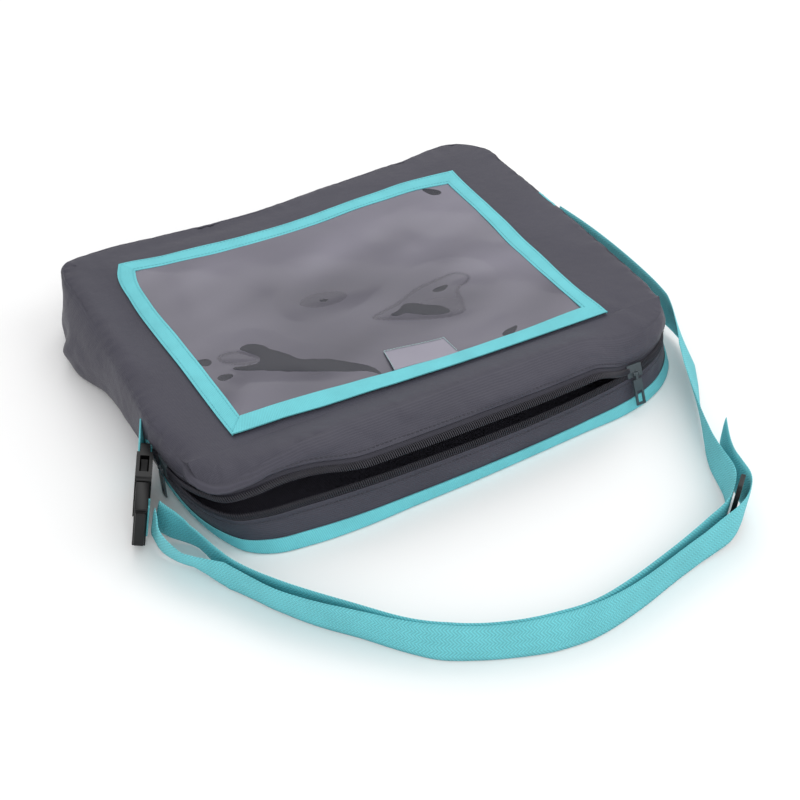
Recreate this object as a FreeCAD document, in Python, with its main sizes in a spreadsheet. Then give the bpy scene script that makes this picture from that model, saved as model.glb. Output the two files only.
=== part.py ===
"""Flat travel activity bag: soft case, front zip mouth, clear window pocket, strap, buckle and tri-glide.

Frame: +Z up, the mouth faces -Y, the bag's left side is -X.  The origin is under the middle of the
case, on the surface that it stands on.  Millimetres.
"""
import FreeCAD, Part
import math
import os

import Sketcher

V = FreeCAD.Vector

DIMENSIONS = {
    # case
    "case_half": 180.0,  # half of the width, across X
    "foot_front": 144.0,  # distance of the foot's front edge forward of the origin
    "rim_front": 118.0,  # the same at the rim: the front wall leans back
    "case_back": 144.0,
    "front_corner": 45.0,
    "back_corner": 22.0,
    "wall_top": 50.0,
    "panel_thick": 1.2,
    "skin": 1.2,
    "tape_thick": 0.8,
    "seam_front": 50.0,  # the side seams, where the zip ends, lie this far forward
    "band_top": 10.0,
    "lower_top": 23.0,
    "upper_foot": 31.5,
    "padding_thick": 3.2,
    "lining_thick": 0.6,
    "inner_gap": 0.4,
    # zip
    "teeth_half": 1.1,  # half of a coil's thickness
    "lower_teeth_foot": 25.2,
    "lower_teeth_top": 26.9,
    "upper_teeth_foot": 28.1,
    "upper_teeth_top": 29.8,
    "tape_depth": 7.0,
    # the lip of the mouth, which folds along the front of the window
    "fold_front": 95.0,
    "lip_left": 134.0,
    "lip_right": 122.0,
    "lip_rest": 22.0,
    "joint_gap": 0.4,
    # window
    "window_half": 140.0,
    "window_front": 90.0,
    "window_back": 118.0,
    "frame_width": 16.0,
    "sheet_foot": 51.6,
    "sheet_thick": 0.4,
    "frame_thick": 0.8,
    "clear_patch_long": 46.0,
    "clear_patch_wide": 19.0,
    "clear_patch_thick": 0.3,
    # sliders
    "slider_long": 12.0,
    "slider_high": 9.0,
    "plate_thick": 1.8,
    "slider_gap": 0.35,  # between a slider's plates and the coil
    "pull_long": 20.0,
    "pull_wide": 7.0,
    "pull_thick": 1.2,
    "pull_pin": 0.45,
    "pull_rise": 1.1,  # of the pull's pin above the slider's face
    "right_slider": 130.0,
    "left_slider": 66.0,
    # webbing and its hardware
    "webbing_wide": 25.0,
    "webbing_thick": 1.4,
    "buckle_wide": 34.0,
    "buckle_thick": 10.0,
    "socket_long": 34.0,
    "socket_bar": 3.0,  # half of the thickness of the socket's webbing bar
    "plug_end": 60.0,
    "plug_wide": 31.0,
    "plug_thick": 8.0,
    "slot_wide": 26.6,
    "glide_wide": 31.0,
    "glide_long": 22.0,
    "glide_thick": 3.0,
}

# Where the buckle hangs: the middle of the socket's outer end, and its length and width directions.
BUCKLE_TOP = V(-187.7, -47.6, 19.0)
BUCKLE_LENGTH = V(-0.389, -0.921, 0.0)
BUCKLE_WIDTH = V(-0.163, 0.069, -0.984)

# The tri-glide: its middle, the direction of the webbing through it, and its width direction.
GLIDE_MIDDLE = V(115.5, -253.6, 18.4)
GLIDE_LENGTH = V(0.743, 0.597, -0.301)
GLIDE_WIDTH = V(0.250, 0.170, 0.953)

# Corners of the strap's route, in order.  The long run goes from the bag's right side to the buckle,
# the return run from the buckle to the hemmed tail.
LONG_RUN = [
    (182.9, 40.0, 37.0), (190.0, 22.0, 33.0), (198.0, -3.0, 27.0), (204.0, -32.0, 21.0),
    (205.0, -62.0, 18.0), (200.0, -90.0, 16.5), (188.8, -116.0, 15.0), (178.5, -133.5, 14.0),
    (167.0, -152.5, 13.2), (154.6, -173.8, 12.8), (144.0, -192.5, 12.6), (136.3, -207.8, 12.8),
    (131.0, -222.0, 14.6), (124.6, -238.8, 17.6), (115.4, -249.6, 18.2), (102.6, -259.2, 16.6),
    (81.6, -263.4, 13.6), (58.5, -269.0, 12.6), (22.1, -277.3, 12.6), (-8.3, -282.7, 12.6),
    (-32.2, -279.5, 12.6), (-53.7, -273.4, 12.6), (-74.2, -265.0, 12.6), (-92.8, -254.4, 12.6),
    (-108.9, -239.5, 12.6), (-123.9, -219.9, 12.6), (-139.1, -201.8, 12.6), (-154.6, -181.9, 12.6),
    (-166.2, -165.5, 12.6), (-172.9, -154.3, 12.6), (-176.6, -143.4, 12.6), (-178.9, -133.0, 12.6),
    (-181.0, -123.0, 12.7), (-184.3, -113.6, 13.2), (-188.8, -106.6, 14.2), (-193.4, -100.6, 15.6),
    (-197.0, -93.8, 17.3),
]
RETURN_RUN = [
    (-201.0, -98.3, 17.7), (-201.4, -104.4, 16.8), (-202.6, -110.8, 15.8), (-201.4, -117.6, 14.8),
    (-198.6, -124.2, 13.8), (-194.8, -130.8, 13.0), (-189.6, -138.0, 12.6), (-184.3, -146.0, 12.6),
    (-178.6, -153.6, 12.6), (-175.4, -159.0, 12.6), (-169.4, -169.4, 12.6), (-160.5, -185.6, 12.6),
    (-144.3, -206.1, 12.6), (-127.2, -222.9, 12.6), (-110.6, -241.5, 12.6), (-94.0, -256.1, 12.6),
    (-75.1, -266.9, 12.6), (-54.5, -275.4, 12.6), (-32.7, -281.6, 12.6), (-8.2, -284.9, 12.6),
    (23.0, -281.7, 12.6), (59.8, -273.3, 12.6), (84.4, -269.2, 13.6), (109.9, -265.4, 16.8),
    (128.8, -251.2, 17.4), (135.2, -232.8, 15.4), (140.4, -220.0, 13.6), (147.6, -207.6, 12.8),
    (156.0, -195.6, 12.6),
]
ARC_SHARE = 0.45  # of the shorter run beside a corner

doc = FreeCAD.newDocument("travel_bag")
sheet = doc.addObject("Spreadsheet::Sheet", "dimensions")
for row, (word, value) in enumerate(DIMENSIONS.items(), start=1):
    sheet.set("A%d" % row, word)
    sheet.set("B%d" % row, str(value))
    sheet.setAlias("B%d" % row, word)
doc.recompute()

PARTS = []


def size(word):
    """A driving dimension, read from the sheet."""
    return float(getattr(sheet, word))


def bind(thing, **expressions):
    """Bind properties of an object to formulas of the sheet's aliases."""
    for name, formula in expressions.items():
        for word in sorted(DIMENSIONS, key=len, reverse=True):
            formula = formula.replace("$" + word + "$", "dimensions." + word)
        thing.setExpression(name.replace("__", "."), formula)
    return thing


def keep(thing, node):
    """Mark an object as a sub-part of the bag, under its own name."""
    thing.Label = node
    PARTS.append(thing)
    return thing


# ---------------------------------------------------------------- helpers for boxes and booleans


def box(name, x, y, z):
    """A box between pairs of formulas, given as (low, high) along each axis."""
    solid = doc.addObject("Part::Box", name)
    (x0, x1), (y0, y1), (z0, z1) = x, y, z
    bind(solid, Length="(%s) - (%s)" % (x1, x0), Width="(%s) - (%s)" % (y1, y0))
    bind(solid, Height="(%s) - (%s)" % (z1, z0))
    bind(solid, Placement__Base__x=x0, Placement__Base__y=y0, Placement__Base__z=z0)
    return solid


def common(name, first, second):
    joined = doc.addObject("Part::Common", name)
    joined.Base = first
    joined.Tool = second
    return joined


def cut(name, base, tool):
    opened = doc.addObject("Part::Cut", name)
    opened.Base = base
    opened.Tool = tool
    return opened


def union(name, *solids):
    joined = doc.addObject("Part::MultiFuse", name)
    joined.Shapes = list(solids)
    return joined


def local_placement(origin, along, across):
    """A placement whose X lies along one direction and whose Y lies across it."""
    x_axis = V(along).normalize()
    z_axis = x_axis.cross(across).normalize()
    y_axis = z_axis.cross(x_axis)
    turn = FreeCAD.Rotation(x_axis, y_axis, z_axis, "ZXY")
    return FreeCAD.Placement(origin, turn)


def placed(node, solid, placement):
    """A sub-part made in its own frame and set where it belongs."""
    solid.Placement = placement
    return keep(solid, node)


# ---------------------------------------------------------------- the case's outline and its layers


def outline(name, inset, front, height):
    """Rounded rectangle at one height, drawn inside the case's outline by the inset."""
    sketch = doc.addObject("Sketcher::SketchObject", name)
    half = size("case_half")
    front_y, back_y = -size(front), size("case_back")
    big, small = size("front_corner"), size("back_corner")
    quarter = math.pi / 2
    arcs = [
        (V(half - big, front_y + big), big, -quarter, 0.0),
        (V(half - small, back_y - small), small, 0.0, quarter),
        (V(small - half, back_y - small), small, quarter, 2 * quarter),
        (V(big - half, front_y + big), big, 2 * quarter, 3 * quarter),
    ]
    lines = [
        (V(big - half, front_y), V(half - big, front_y)),
        (V(half, front_y + big), V(half, back_y - small)),
        (V(half - small, back_y), V(small - half, back_y)),
        (V(-half, back_y - small), V(-half, front_y + big)),
    ]
    for start, end in lines:
        sketch.addGeometry(Part.LineSegment(start, end), False)
    for centre, radius, first, last in arcs:
        circle = Part.Circle(centre, V(0, 0, 1), radius)
        sketch.addGeometry(Part.ArcOfCircle(circle, first, last), False)
    start, end = 1, 2
    for side in range(4):
        arc = 4 + side
        sketch.addConstraint(Sketcher.Constraint("Tangent", side, end, arc, start))
        sketch.addConstraint(Sketcher.Constraint("Tangent", arc, end, (side + 1) % 4, start))
        sketch.addConstraint(Sketcher.Constraint("Horizontal" if side % 2 == 0 else "Vertical", side))
    rules = [
        ("right", Sketcher.Constraint("DistanceX", -1, 1, 1, start, half), "$case_half$"),
        ("left", Sketcher.Constraint("DistanceX", 3, start, -1, 1, half), "$case_half$"),
        ("front", Sketcher.Constraint("DistanceY", 0, start, -1, 1, -front_y), "$%s$" % front),
        ("back", Sketcher.Constraint("DistanceY", -1, 1, 2, start, back_y), "$case_back$"),
        ("front_right", Sketcher.Constraint("Radius", 4, big), "$front_corner$"),
        ("front_left", Sketcher.Constraint("Radius", 7, big), "$front_corner$"),
        ("back_right", Sketcher.Constraint("Radius", 5, small), "$back_corner$"),
        ("back_left", Sketcher.Constraint("Radius", 6, small), "$back_corner$"),
    ]
    for rule, constraint, formula in rules:
        index = sketch.addConstraint(constraint)
        sketch.renameConstraint(index, rule)
        bind(sketch, **{"Constraints__" + rule: "%s - (%s)" % (formula, inset)})
    bind(sketch, Placement__Base__z=height)
    return sketch


def tub(name, inset):
    """The closed solid inside the case's walls, smaller all round by the inset."""
    loft = doc.addObject("Part::Loft", name)
    loft.Sections = [
        outline(name + "_foot", inset, "foot_front", "0"),
        outline(name + "_rim", inset, "rim_front", "$wall_top$"),
    ]
    loft.Solid = True
    loft.Ruled = True
    return loft


SKIN_TUB = tub("skin_tub", "0")
TAPE_TUB = tub("tape_tub", "$skin$")
LINED_TUB = tub("lined_tub", "$skin$ + $tape_thick$")
TEETH_OUT = tub("teeth_out", "$skin$ - $teeth_half$")
TEETH_IN = tub("teeth_in", "$skin$ + $teeth_half$")
INNER_TUB = tub("inner_tub", "$skin$ + $tape_thick$ + $inner_gap$")
SKIN_WALL = cut("skin_wall", SKIN_TUB, TAPE_TUB)
TAPE_WALL = cut("tape_wall", TAPE_TUB, LINED_TUB)
TEETH_WALL = cut("teeth_wall", TEETH_OUT, TEETH_IN)

ALL_X = ("-$case_half$ - 1", "$case_half$ + 1")
FRONT_Y = ("-$foot_front$ - 1", "-$seam_front$")
FLAT_FOOT = "$panel_thick$"


def ring(node, wall, x, y, z):
    """The stretch of a wall layer that lies between the given bounds."""
    return keep(common(node, wall, box(node + "_bounds", x, y, z)), node)


def case_walls():
    """Rear gusset, teal band, lower gusset and the lower half of the zip."""
    rear_y = ("-$seam_front$", "$case_back$ + 1")
    ring("rear_gusset", SKIN_WALL, ALL_X, rear_y, (FLAT_FOOT, "$wall_top$"))
    ring("front_band", SKIN_WALL, ALL_X, FRONT_Y, (FLAT_FOOT, "$band_top$"))
    ring("lower_gusset", SKIN_WALL, ALL_X, FRONT_Y, ("$band_top$", "$lower_top$"))
    tape_z = ("$lower_teeth_foot$ - $tape_depth$", "$lower_teeth_foot$")
    ring("lower_zip_tape", TAPE_WALL, ALL_X, FRONT_Y, tape_z)
    teeth_z = ("$lower_teeth_foot$", "$lower_teeth_top$")
    ring("lower_zip_teeth", TEETH_WALL, ALL_X, FRONT_Y, teeth_z)


def lip_placement():
    """The turn of the lip from its zipped place to its resting, gaping place."""
    turn = FreeCAD.Rotation(V(-1, 0, 0), size("lip_rest"))
    axis = V(0, -size("fold_front"), size("wall_top") + size("panel_thick"))
    return FreeCAD.Placement(V(0, 0, 0), turn, axis)


def upper_strips():
    """Upper gusset and the upper half of the zip, each in a left, a right and a lip stretch."""
    stretches = {
        "left": ("-$case_half$ - 1", "-$lip_left$ - $joint_gap$"),
        "right": ("$lip_right$ + $joint_gap$", "$case_half$ + 1"),
        "lip": ("-$lip_left$", "$lip_right$"),
    }
    layers = [
        ("upper_gusset", SKIN_WALL, ("$upper_foot$", "$wall_top$")),
        ("upper_zip_tape", TAPE_WALL, ("$upper_teeth_top$", "$upper_teeth_top$ + $tape_depth$")),
        ("upper_zip_teeth", TEETH_WALL, ("$upper_teeth_foot$", "$upper_teeth_top$")),
    ]
    for stretch, x in stretches.items():
        for layer, wall, z in layers:
            strip = ring("%s_%s" % (layer, stretch), wall, x, FRONT_Y, z)
            if stretch == "lip":
                strip.Placement = lip_placement()


def panels():
    """Bottom and top panels with their padding and lining, and the strip that folds with the lip."""
    flat_y = ("-$foot_front$ - 1", "$case_back$ + 1")
    ring("bottom_panel", SKIN_TUB, ALL_X, flat_y, ("0", FLAT_FOOT))
    padding_top = "$panel_thick$ + $padding_thick$"
    ring("bottom_padding", INNER_TUB, ALL_X, flat_y, (FLAT_FOOT, padding_top))
    ring("bottom_lining", INNER_TUB, ALL_X, flat_y, (padding_top, padding_top + " + $lining_thick$"))

    rear_y = ("-$fold_front$ + 1", "$case_back$ + 1")
    padding_foot = "$wall_top$ - $padding_thick$"
    ring("top_padding", INNER_TUB, ALL_X, rear_y, (padding_foot, "$wall_top$"))
    ring("top_lining", INNER_TUB, ALL_X, rear_y, (padding_foot + " - $lining_thick$", padding_foot))

    slab = doc.addObject("Part::Extrusion", "top_slab")
    slab.Base = outline("top_slab_outline", "0", "rim_front", "$wall_top$")
    slab.Dir = V(0, 0, 1)
    slab.Solid = True
    bind(slab, LengthFwd="$panel_thick$")
    top_z = ("$wall_top$ - 1", "$wall_top$ + $panel_thick$ + 1")
    notch_x = ("-$lip_left$ - $joint_gap$", "$lip_right$ + $joint_gap$")
    notch = box("lip_notch", notch_x, ("-$rim_front$ - 1", "-$fold_front$"), top_z)
    keep(cut("top_panel", slab, notch), "top_panel")
    strip_y = ("-$rim_front$ - 1", "-$fold_front$ - $joint_gap$")
    strip_bounds = box("lip_strip_bounds", ("-$lip_left$", "$lip_right$"), strip_y, top_z)
    strip = keep(common("lip_strip", slab, strip_bounds), "lip_strip")
    strip.Placement = lip_placement()


def window():
    """Clear sheet, the four tapes that frame it, and the small clear patch behind it."""
    margin = "$frame_width$ / 2"
    half = "$window_half$"
    sheet_x = ("-%s + %s" % (half, margin), "%s - %s" % (half, margin))
    sheet_y = ("-$window_front$ + " + margin, "$window_back$ - " + margin)
    sheet_z = ("$sheet_foot$", "$sheet_foot$ + $sheet_thick$")
    keep(box("window_sheet", sheet_x, sheet_y, sheet_z), "window_sheet")

    tape_z = (sheet_z[1], sheet_z[1] + " + $frame_thick$")
    long_x = ("-" + half, half)
    inner_y = ("-$window_front$ + $frame_width$", "$window_back$ - $frame_width$")
    front_y = ("-$window_front$", inner_y[0])
    back_y = (inner_y[1], "$window_back$")
    left_x = ("-" + half, "-%s + $frame_width$" % half)
    right_x = (half + " - $frame_width$", half)
    for node, x, y in [
        ("window_tape_front", long_x, front_y),
        ("window_tape_back", long_x, back_y),
        ("window_tape_left", left_x, inner_y),
        ("window_tape_right", right_x, inner_y),
    ]:
        keep(box(node, x, y, tape_z), node)
    patch_x = ("-$clear_patch_long$ / 2 - 4", "$clear_patch_long$ / 2 - 4")
    patch_y = ("-$window_front$ + 11", "-$window_front$ + 11 + $clear_patch_wide$")
    patch_foot = "$wall_top$ + $panel_thick$"
    keep(box("clear_patch", patch_x, patch_y, (patch_foot, patch_foot + " + $clear_patch_thick$")),
         "clear_patch")


# ---------------------------------------------------------------- zip sliders


SLIDER_FACE = "$teeth_half$ - $skin$ + $slider_gap$ + $plate_thick$"
PIN_BACK = "2"  # how far below the chain the pull's pin lies


def pin(name, radius, half_length):
    """A round pin along the slider, where the pull turns."""
    rod = doc.addObject("Part::Cylinder", name)
    bind(rod, Radius=radius, Height="2 * (%s)" % half_length)
    rod.Placement.Rotation = FreeCAD.Rotation(V(0, 1, 0), 90)
    bind(rod, Placement__Base__x="-(%s)" % half_length, Placement__Base__y="-" + PIN_BACK)
    bind(rod, Placement__Base__z=SLIDER_FACE + " + $pull_rise$")
    return rod


def slider_solid(name, lean):
    """Slider in its own frame: X along the chain, Y across it, Z out of the wall, 0 on the skin."""
    half_long, half_high = "$slider_long$ / 2", "$slider_high$ / 2"
    x = ("-" + half_long, half_long)
    y = ("-" + half_high, half_high)
    inner_top = "-$skin$ - $teeth_half$ - $slider_gap$"
    outer_foot = "$teeth_half$ - $skin$ + $slider_gap$"
    outer = box(name + "_outer", x, y, (outer_foot, SLIDER_FACE))
    inner = box(name + "_inner", x, y, (inner_top + " - $plate_thick$ / 2", inner_top))
    upright = box(name + "_upright", ("-" + half_long, "-%s + 2.5" % half_long), ("-0.35", "0.35"),
                  (inner_top + " - 0.7", outer_foot + " + 0.7"))
    post = common(name + "_post", upright, box(name + "_reach", x, y, ("-6", "6")))
    post.Placement.Rotation = FreeCAD.Rotation(V(1, 0, 0), lean)
    lugs = box(name + "_lugs", ("-2.6", "2.6"), ("-3.2", "-0.8"),
               (SLIDER_FACE + " - 0.3", SLIDER_FACE + " + $pull_rise$ + 1.1"))
    slot = box(name + "_slot", ("-1.15", "1.15"), ("-4", "0"),
               (SLIDER_FACE, SLIDER_FACE + " + 4"))
    holes = union(name + "_holes", slot, pin(name + "_hole", "$pull_pin$ + 0.06", "4"))
    return union(name, outer, inner, post, cut(name + "_crown", lugs, holes))


def pull_solid(name):
    """Pull in the slider's frame: a neck on the pin, then a flat tongue with a long opening."""
    half = "$pull_wide$ / 2"
    middle = SLIDER_FACE + " + $pull_rise$"
    z = (middle + " - $pull_thick$ / 2", middle + " + $pull_thick$ / 2")
    neck = box(name + "_neck", ("-0.95", "0.95"), ("-6.5", "-" + PIN_BACK), z)
    knuckle = pin(name + "_knuckle", "0.9", "0.95")
    rod = pin(name + "_pin", "$pull_pin$", "2.5")
    tongue = box(name + "_tongue", ("-" + half, half), ("-4 - $pull_long$", "-6"), z)
    opening = box(name + "_opening", ("-%s + 1.6" % half, half + " - 1.6"),
                  ("-2.2 - $pull_long$", "-14"), (z[0] + " - 1", z[1] + " + 1"))
    return cut(name, union(name + "_solid", neck, knuckle, rod, tongue), opening)


def sliders():
    """Both sliders, at the two ends of the opened stretch of the zip."""
    chain = (size("lower_teeth_top") + size("upper_teeth_foot")) / 2
    lean = (size("foot_front") - size("rim_front")) / size("wall_top")
    front_y = -size("foot_front") + lean * chain
    up_wall = V(0, lean, 1).normalize()
    right = local_placement(V(size("right_slider"), front_y, chain), V(1, 0, 0), up_wall)
    left = local_placement(V(-size("case_half"), -size("left_slider"), chain), V(0, -1, 0), V(0, 0, 1))
    front_lean = math.degrees(math.atan(lean))
    for side, where, turn in (("right", right, front_lean), ("left", left, 0.0)):
        placed(side + "_slider_body", slider_solid(side + "_slider_body", turn), where)
        placed(side + "_slider_pull", pull_solid(side + "_slider_pull"), where)


# ---------------------------------------------------------------- buckle, in its own frame


def buckle_placement():
    return local_placement(BUCKLE_TOP, BUCKLE_LENGTH, BUCKLE_WIDTH)


def profile_body(name, points, foot, depth):
    """PartDesign body padded from a closed outline in its own XY plane."""
    body = doc.addObject("PartDesign::Body", name)
    sketch = body.newObject("Sketcher::SketchObject", name + "_outline")
    plane = next(f for f in body.Origin.OriginFeatures if f.Role == "XY_Plane")
    sketch.AttachmentSupport = [(plane, "")]
    sketch.MapMode = "FlatFace"
    bind(sketch, AttachmentOffset__Base__z=foot)
    count = len(points)
    for index, point in enumerate(points):
        following = points[(index + 1) % count]
        sketch.addGeometry(Part.LineSegment(V(*point, 0), V(*following, 0)), False)
    for index in range(count):
        sketch.addConstraint(Sketcher.Constraint("Coincident", index, 2, (index + 1) % count, 1))
        sketch.addConstraint(Sketcher.Constraint("Block", index))
    pad = body.newObject("PartDesign::Pad", name + "_pad")
    pad.Profile = sketch
    bind(pad, Length=depth)
    return body


def buckle_socket():
    """Female half: webbing bar, then a hollow body with a window in each side."""
    half = "$buckle_wide$ / 2"
    thick = "$buckle_thick$ / 2"
    block = box("socket_block", ("0", "$socket_long$"), ("-" + half, half), ("-" + thick, thick))
    rounded = doc.addObject("Part::Fillet", "socket_rounded")
    rounded.Base = block
    doc.recompute()
    upright = [i + 1 for i, edge in enumerate(block.Shape.Edges) if is_upright(edge)]
    rounded.Edges = [(i, 3.0, 3.0) for i in upright]
    through = ("-%s - 1" % thick, thick + " + 1")
    slot_half = "$slot_wide$ / 2"
    slot = box("socket_slot", ("4.5", "8.5"), ("-" + slot_half, slot_half), through)
    hollow = box("socket_hollow", ("12", "$socket_long$ + 1"), ("-13", "13"), ("-2.8", "2.8"))
    windows = box("socket_windows", ("13", "27"), ("-%s - 1" % half, half + " + 1"), ("-2.8", "2.8"))
    wide = ("-%s - 1" % half, half + " + 1")
    above = box("socket_step_above", ("-1", "9.5"), wide, ("$socket_bar$", thick + " + 1"))
    below = box("socket_step_below", ("-1", "9.5"), wide, ("-%s - 1" % thick, "-$socket_bar$"))
    body = cut("buckle_socket", rounded, union("socket_holes", slot, hollow, windows, above, below))
    placed("buckle_socket", body, buckle_placement())


def is_upright(edge):
    return abs(edge.tangentAt(edge.FirstParameter).z) > 0.99


def buckle_plug():
    """Male half: guide tongue, cross block, webbing bar between two slots, and thin end."""
    half = "$plug_wide$ / 2"
    thick = "$plug_thick$ / 2"
    guide = box("plug_guide", ("25", "35"), ("-3.2", "3.2"), ("-2.2", "2.2"))
    frame = box("plug_frame", ("34.4", "58"), ("-" + half, half), ("-" + thick, thick))
    lip = box("plug_lip", ("57", "$plug_end$"), ("-%s + 2" % half, half + " - 2"), ("-3", "3"))
    solid = union("plug_solid", guide, frame, lip)
    slot_half = "$slot_wide$ / 2"
    through = ("-%s - 1" % thick, thick + " + 1")
    slot_y = ("-" + slot_half, slot_half)
    upper = box("plug_upper_slot", ("41", "47"), slot_y, through)
    lower = box("plug_lower_slot", ("51", "56.5"), slot_y, through)
    shallow = box("plug_bar_top", ("46", "52"), slot_y, ("1.75", thick + " + 1"))
    under = box("plug_bar_foot", ("46", "52"), slot_y, ("-%s - 1" % thick, "-1.75"))
    body = cut("buckle_plug", solid, union("plug_holes", upper, lower, shallow, under))
    placed("buckle_plug", body, buckle_placement())


def buckle_prongs():
    """Spring prongs: a thin arm from the cross block to a wedge-shaped thumb pad in the side window."""
    arm = [
        (33.7, 7.5), (33.7, 10.4), (27.0, 12.1), (24.0, 12.8), (21.0, 13.7), (18.0, 14.8),
        (15.6, 16.0), (14.2, 14.6), (14.2, 10.6), (20.0, 9.8), (28.0, 8.6),
    ]
    for node, side in (("buckle_prong_left", 1), ("buckle_prong_right", -1)):
        points = [(x, side * y) for x, y in arm]
        placed(node, profile_body(node, points, "-2.2", "4.4"), buckle_placement())


def strap_bar_turn():
    """The turn of webbing round the plug's bar, open towards the strap."""
    half = "$webbing_wide$ / 2"
    y = ("-" + half, half)
    outer = box("turn_outer", ("46.8 - $webbing_thick$", "51.2 + $webbing_thick$"), y,
                ("-1.95 - $webbing_thick$", "5"))
    inner = box("turn_inner", ("46.8", "51.2"), ("-%s - 1" % half, half + " + 1"), ("-1.95", "6"))
    placed("strap_bar_turn", cut("strap_bar_turn", outer, inner), buckle_placement())


# ---------------------------------------------------------------- strap


def rounded_path(name, corners):
    """Straight runs joined by tangent arcs, each as large as its two runs allow."""
    points = [V(*corner) for corner in corners]
    edges, here, radii = [], points[0], []
    for before, corner, after in zip(points, points[1:], points[2:]):
        run_in, run_out = corner - before, after - corner
        turn = run_in.getAngle(run_out)
        reach = ARC_SHARE * min(run_in.Length, run_out.Length)
        radii.append(reach / math.tan(turn / 2))
        towards, onward = V(run_in).normalize(), V(run_out).normalize()
        start, end = corner - towards * reach, corner + onward * reach
        bisector = (onward - towards).normalize()
        middle = corner + bisector * (radii[-1] * (1 / math.cos(turn / 2) - 1))
        edges.append(Part.LineSegment(here, start).toShape())
        edges.append(Part.Arc(start, middle, end).toShape())
        here = end
    edges.append(Part.LineSegment(here, points[-1]).toShape())
    wire = Part.Wire(edges)
    print("%s: length %.0f mm, radii %s" % (name, wire.Length, " ".join("%.0f" % r for r in radii)))
    return wire


def ribbon(node, corners):
    """Webbing standing on its edge along a rounded path."""
    path = rounded_path(node, corners)
    start, following = V(*corners[0]), V(*corners[1])
    along = (following - start).normalize()
    side = along.cross(V(0, 0, 1)).normalize() * (size("webbing_thick") / 2)
    rise = side.cross(along).normalize() * (size("webbing_wide") / 2)
    ring_points = [start + side + rise, start - side + rise, start - side - rise, start + side - rise]
    profile = Part.makePolygon(ring_points + ring_points[:1])
    sweep = Part.BRepOffsetAPI.MakePipeShell(path)
    sweep.setBiNormalMode(V(0, 0, 1))
    sweep.add(profile)
    sweep.build()
    sweep.makeSolid()
    webbing = doc.addObject("Part::Feature", node)
    webbing.Shape = sweep.shape()
    expected = size("webbing_wide") * size("webbing_thick") * path.Length
    print("%s: volume %.0f, section times length %.0f" % (node, webbing.Shape.Volume, expected))
    return keep(webbing, node)


def triangle_solid(sections):
    """A closed solid through four-cornered sections, from flat triangles."""
    corners = []

    def quad(a, b, c, d):
        corners.extend([(a, b, c), (a, c, d)])

    for here, onward in zip(sections, sections[1:]):
        for side in range(4):
            after = (side + 1) % 4
            quad(here[side], here[after], onward[after], onward[side])
    quad(*reversed(sections[0]))
    quad(*sections[-1])
    faces = [Part.Face(Part.makePolygon([a, b, c, a])) for a, b, c in corners]
    solid = Part.Solid(Part.Shell(faces))
    return solid if solid.Volume > 0 else triangle_solid([section[::-1] for section in sections])


def strap_tabs():
    """Left tab, a flattened loop from the side seam round the socket's bar, and the right sewn end."""
    half, thick = size("webbing_wide") / 2, 0.9
    place = buckle_placement()
    seam = V(-size("case_half") - 1.7, -36.0, 31.0)
    out = place.Rotation.multVec(V(0, 0, 1))
    reach = size("socket_bar") + 0.3

    def section(x, z, thicker_x, thicker_z):
        points = [V(x, -half, z), V(x, half, z), V(thicker_x, half, thicker_z), V(thicker_x, -half, thicker_z)]
        return [place.multVec(point) for point in points]

    legs = []
    for side in (-1, 1):
        inner = seam + V(side * 0.6, 0, 0)
        edge = V(0, 0, half)
        sewn = [inner + edge, inner - edge, inner - edge + out * (side * thick), inner + edge + out * (side * thick)]
        beside = section(-0.8, side * reach, -0.8, side * (reach + thick))
        round_bar = section(6.4 - thick, side * reach, 6.4, side * (reach + thick))
        legs.append([sewn, beside, round_bar])
    tab = doc.addObject("Part::Feature", "strap_tab_left")
    tab.Shape = triangle_solid(legs[0] + list(reversed(legs[1])))
    keep(tab, "strap_tab_left")
    keep(box("strap_end_right", ("$case_half$", "$case_half$ + $webbing_thick$"), ("40", "62"),
             ("24.5", "49.5")), "strap_end_right")


def triglide():
    """Flat adjuster: a frame and a middle bar, with a slot on each side of it."""
    half_long, half_wide = "$glide_long$ / 2", "$glide_wide$ / 2"
    half_thick = "$glide_thick$ / 2"
    plate = box("glide_plate", ("-" + half_long, half_long), ("-" + half_wide, half_wide),
                ("-" + half_thick, half_thick))
    rounded = doc.addObject("Part::Fillet", "glide_rounded")
    rounded.Base = plate
    doc.recompute()
    upright = [i + 1 for i, edge in enumerate(plate.Shape.Edges) if is_upright(edge)]
    rounded.Edges = [(i, 3.0, 3.0) for i in upright]
    slot_half = "$slot_wide$ / 2"
    through = ("-%s - 1" % half_thick, half_thick + " + 1")
    slots = [
        box("glide_slot_%d" % number, x, ("-" + slot_half, slot_half), through)
        for number, x in enumerate([("-8.4", "-2.4"), ("2.4", "8.4")], start=1)
    ]
    body = cut("triglide", rounded, union("glide_slots", *slots))
    placed("triglide", body, local_placement(GLIDE_MIDDLE, GLIDE_LENGTH, GLIDE_WIDTH))


# ---------------------------------------------------------------- build, check and write


def write_parts():
    doc.recompute()
    for thing in doc.Objects:
        if {"Invalid", "Error"} & set(thing.State):
            raise RuntimeError("%s failed: %s" % (thing.Name, thing.State))
    for part in PARTS:
        shape = part.Shape
        if shape.isNull() or not shape.isValid() or not shape.Solids:
            raise RuntimeError("%s has no valid solid" % part.Label)
    os.makedirs("parts", exist_ok=True)
    for part in PARTS:
        part.Shape.exportStep(os.path.join("parts", part.Label + ".step"))
    print("%d parts written" % len(PARTS))


case_walls()
upper_strips()
panels()
window()
sliders()
buckle_socket()
buckle_plug()
buckle_prongs()
strap_bar_turn()
strap_tabs()
triglide()
ribbon("strap_long_run", LONG_RUN)
ribbon("strap_return_run", RETURN_RUN)
write_parts()
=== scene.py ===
"""Looks of the flat travel activity bag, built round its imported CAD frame."""

import math

import bpy
import numpy as np
from mathutils import Matrix, Vector, noise
from mathutils.geometry import delaunay_2d_cdt


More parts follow.
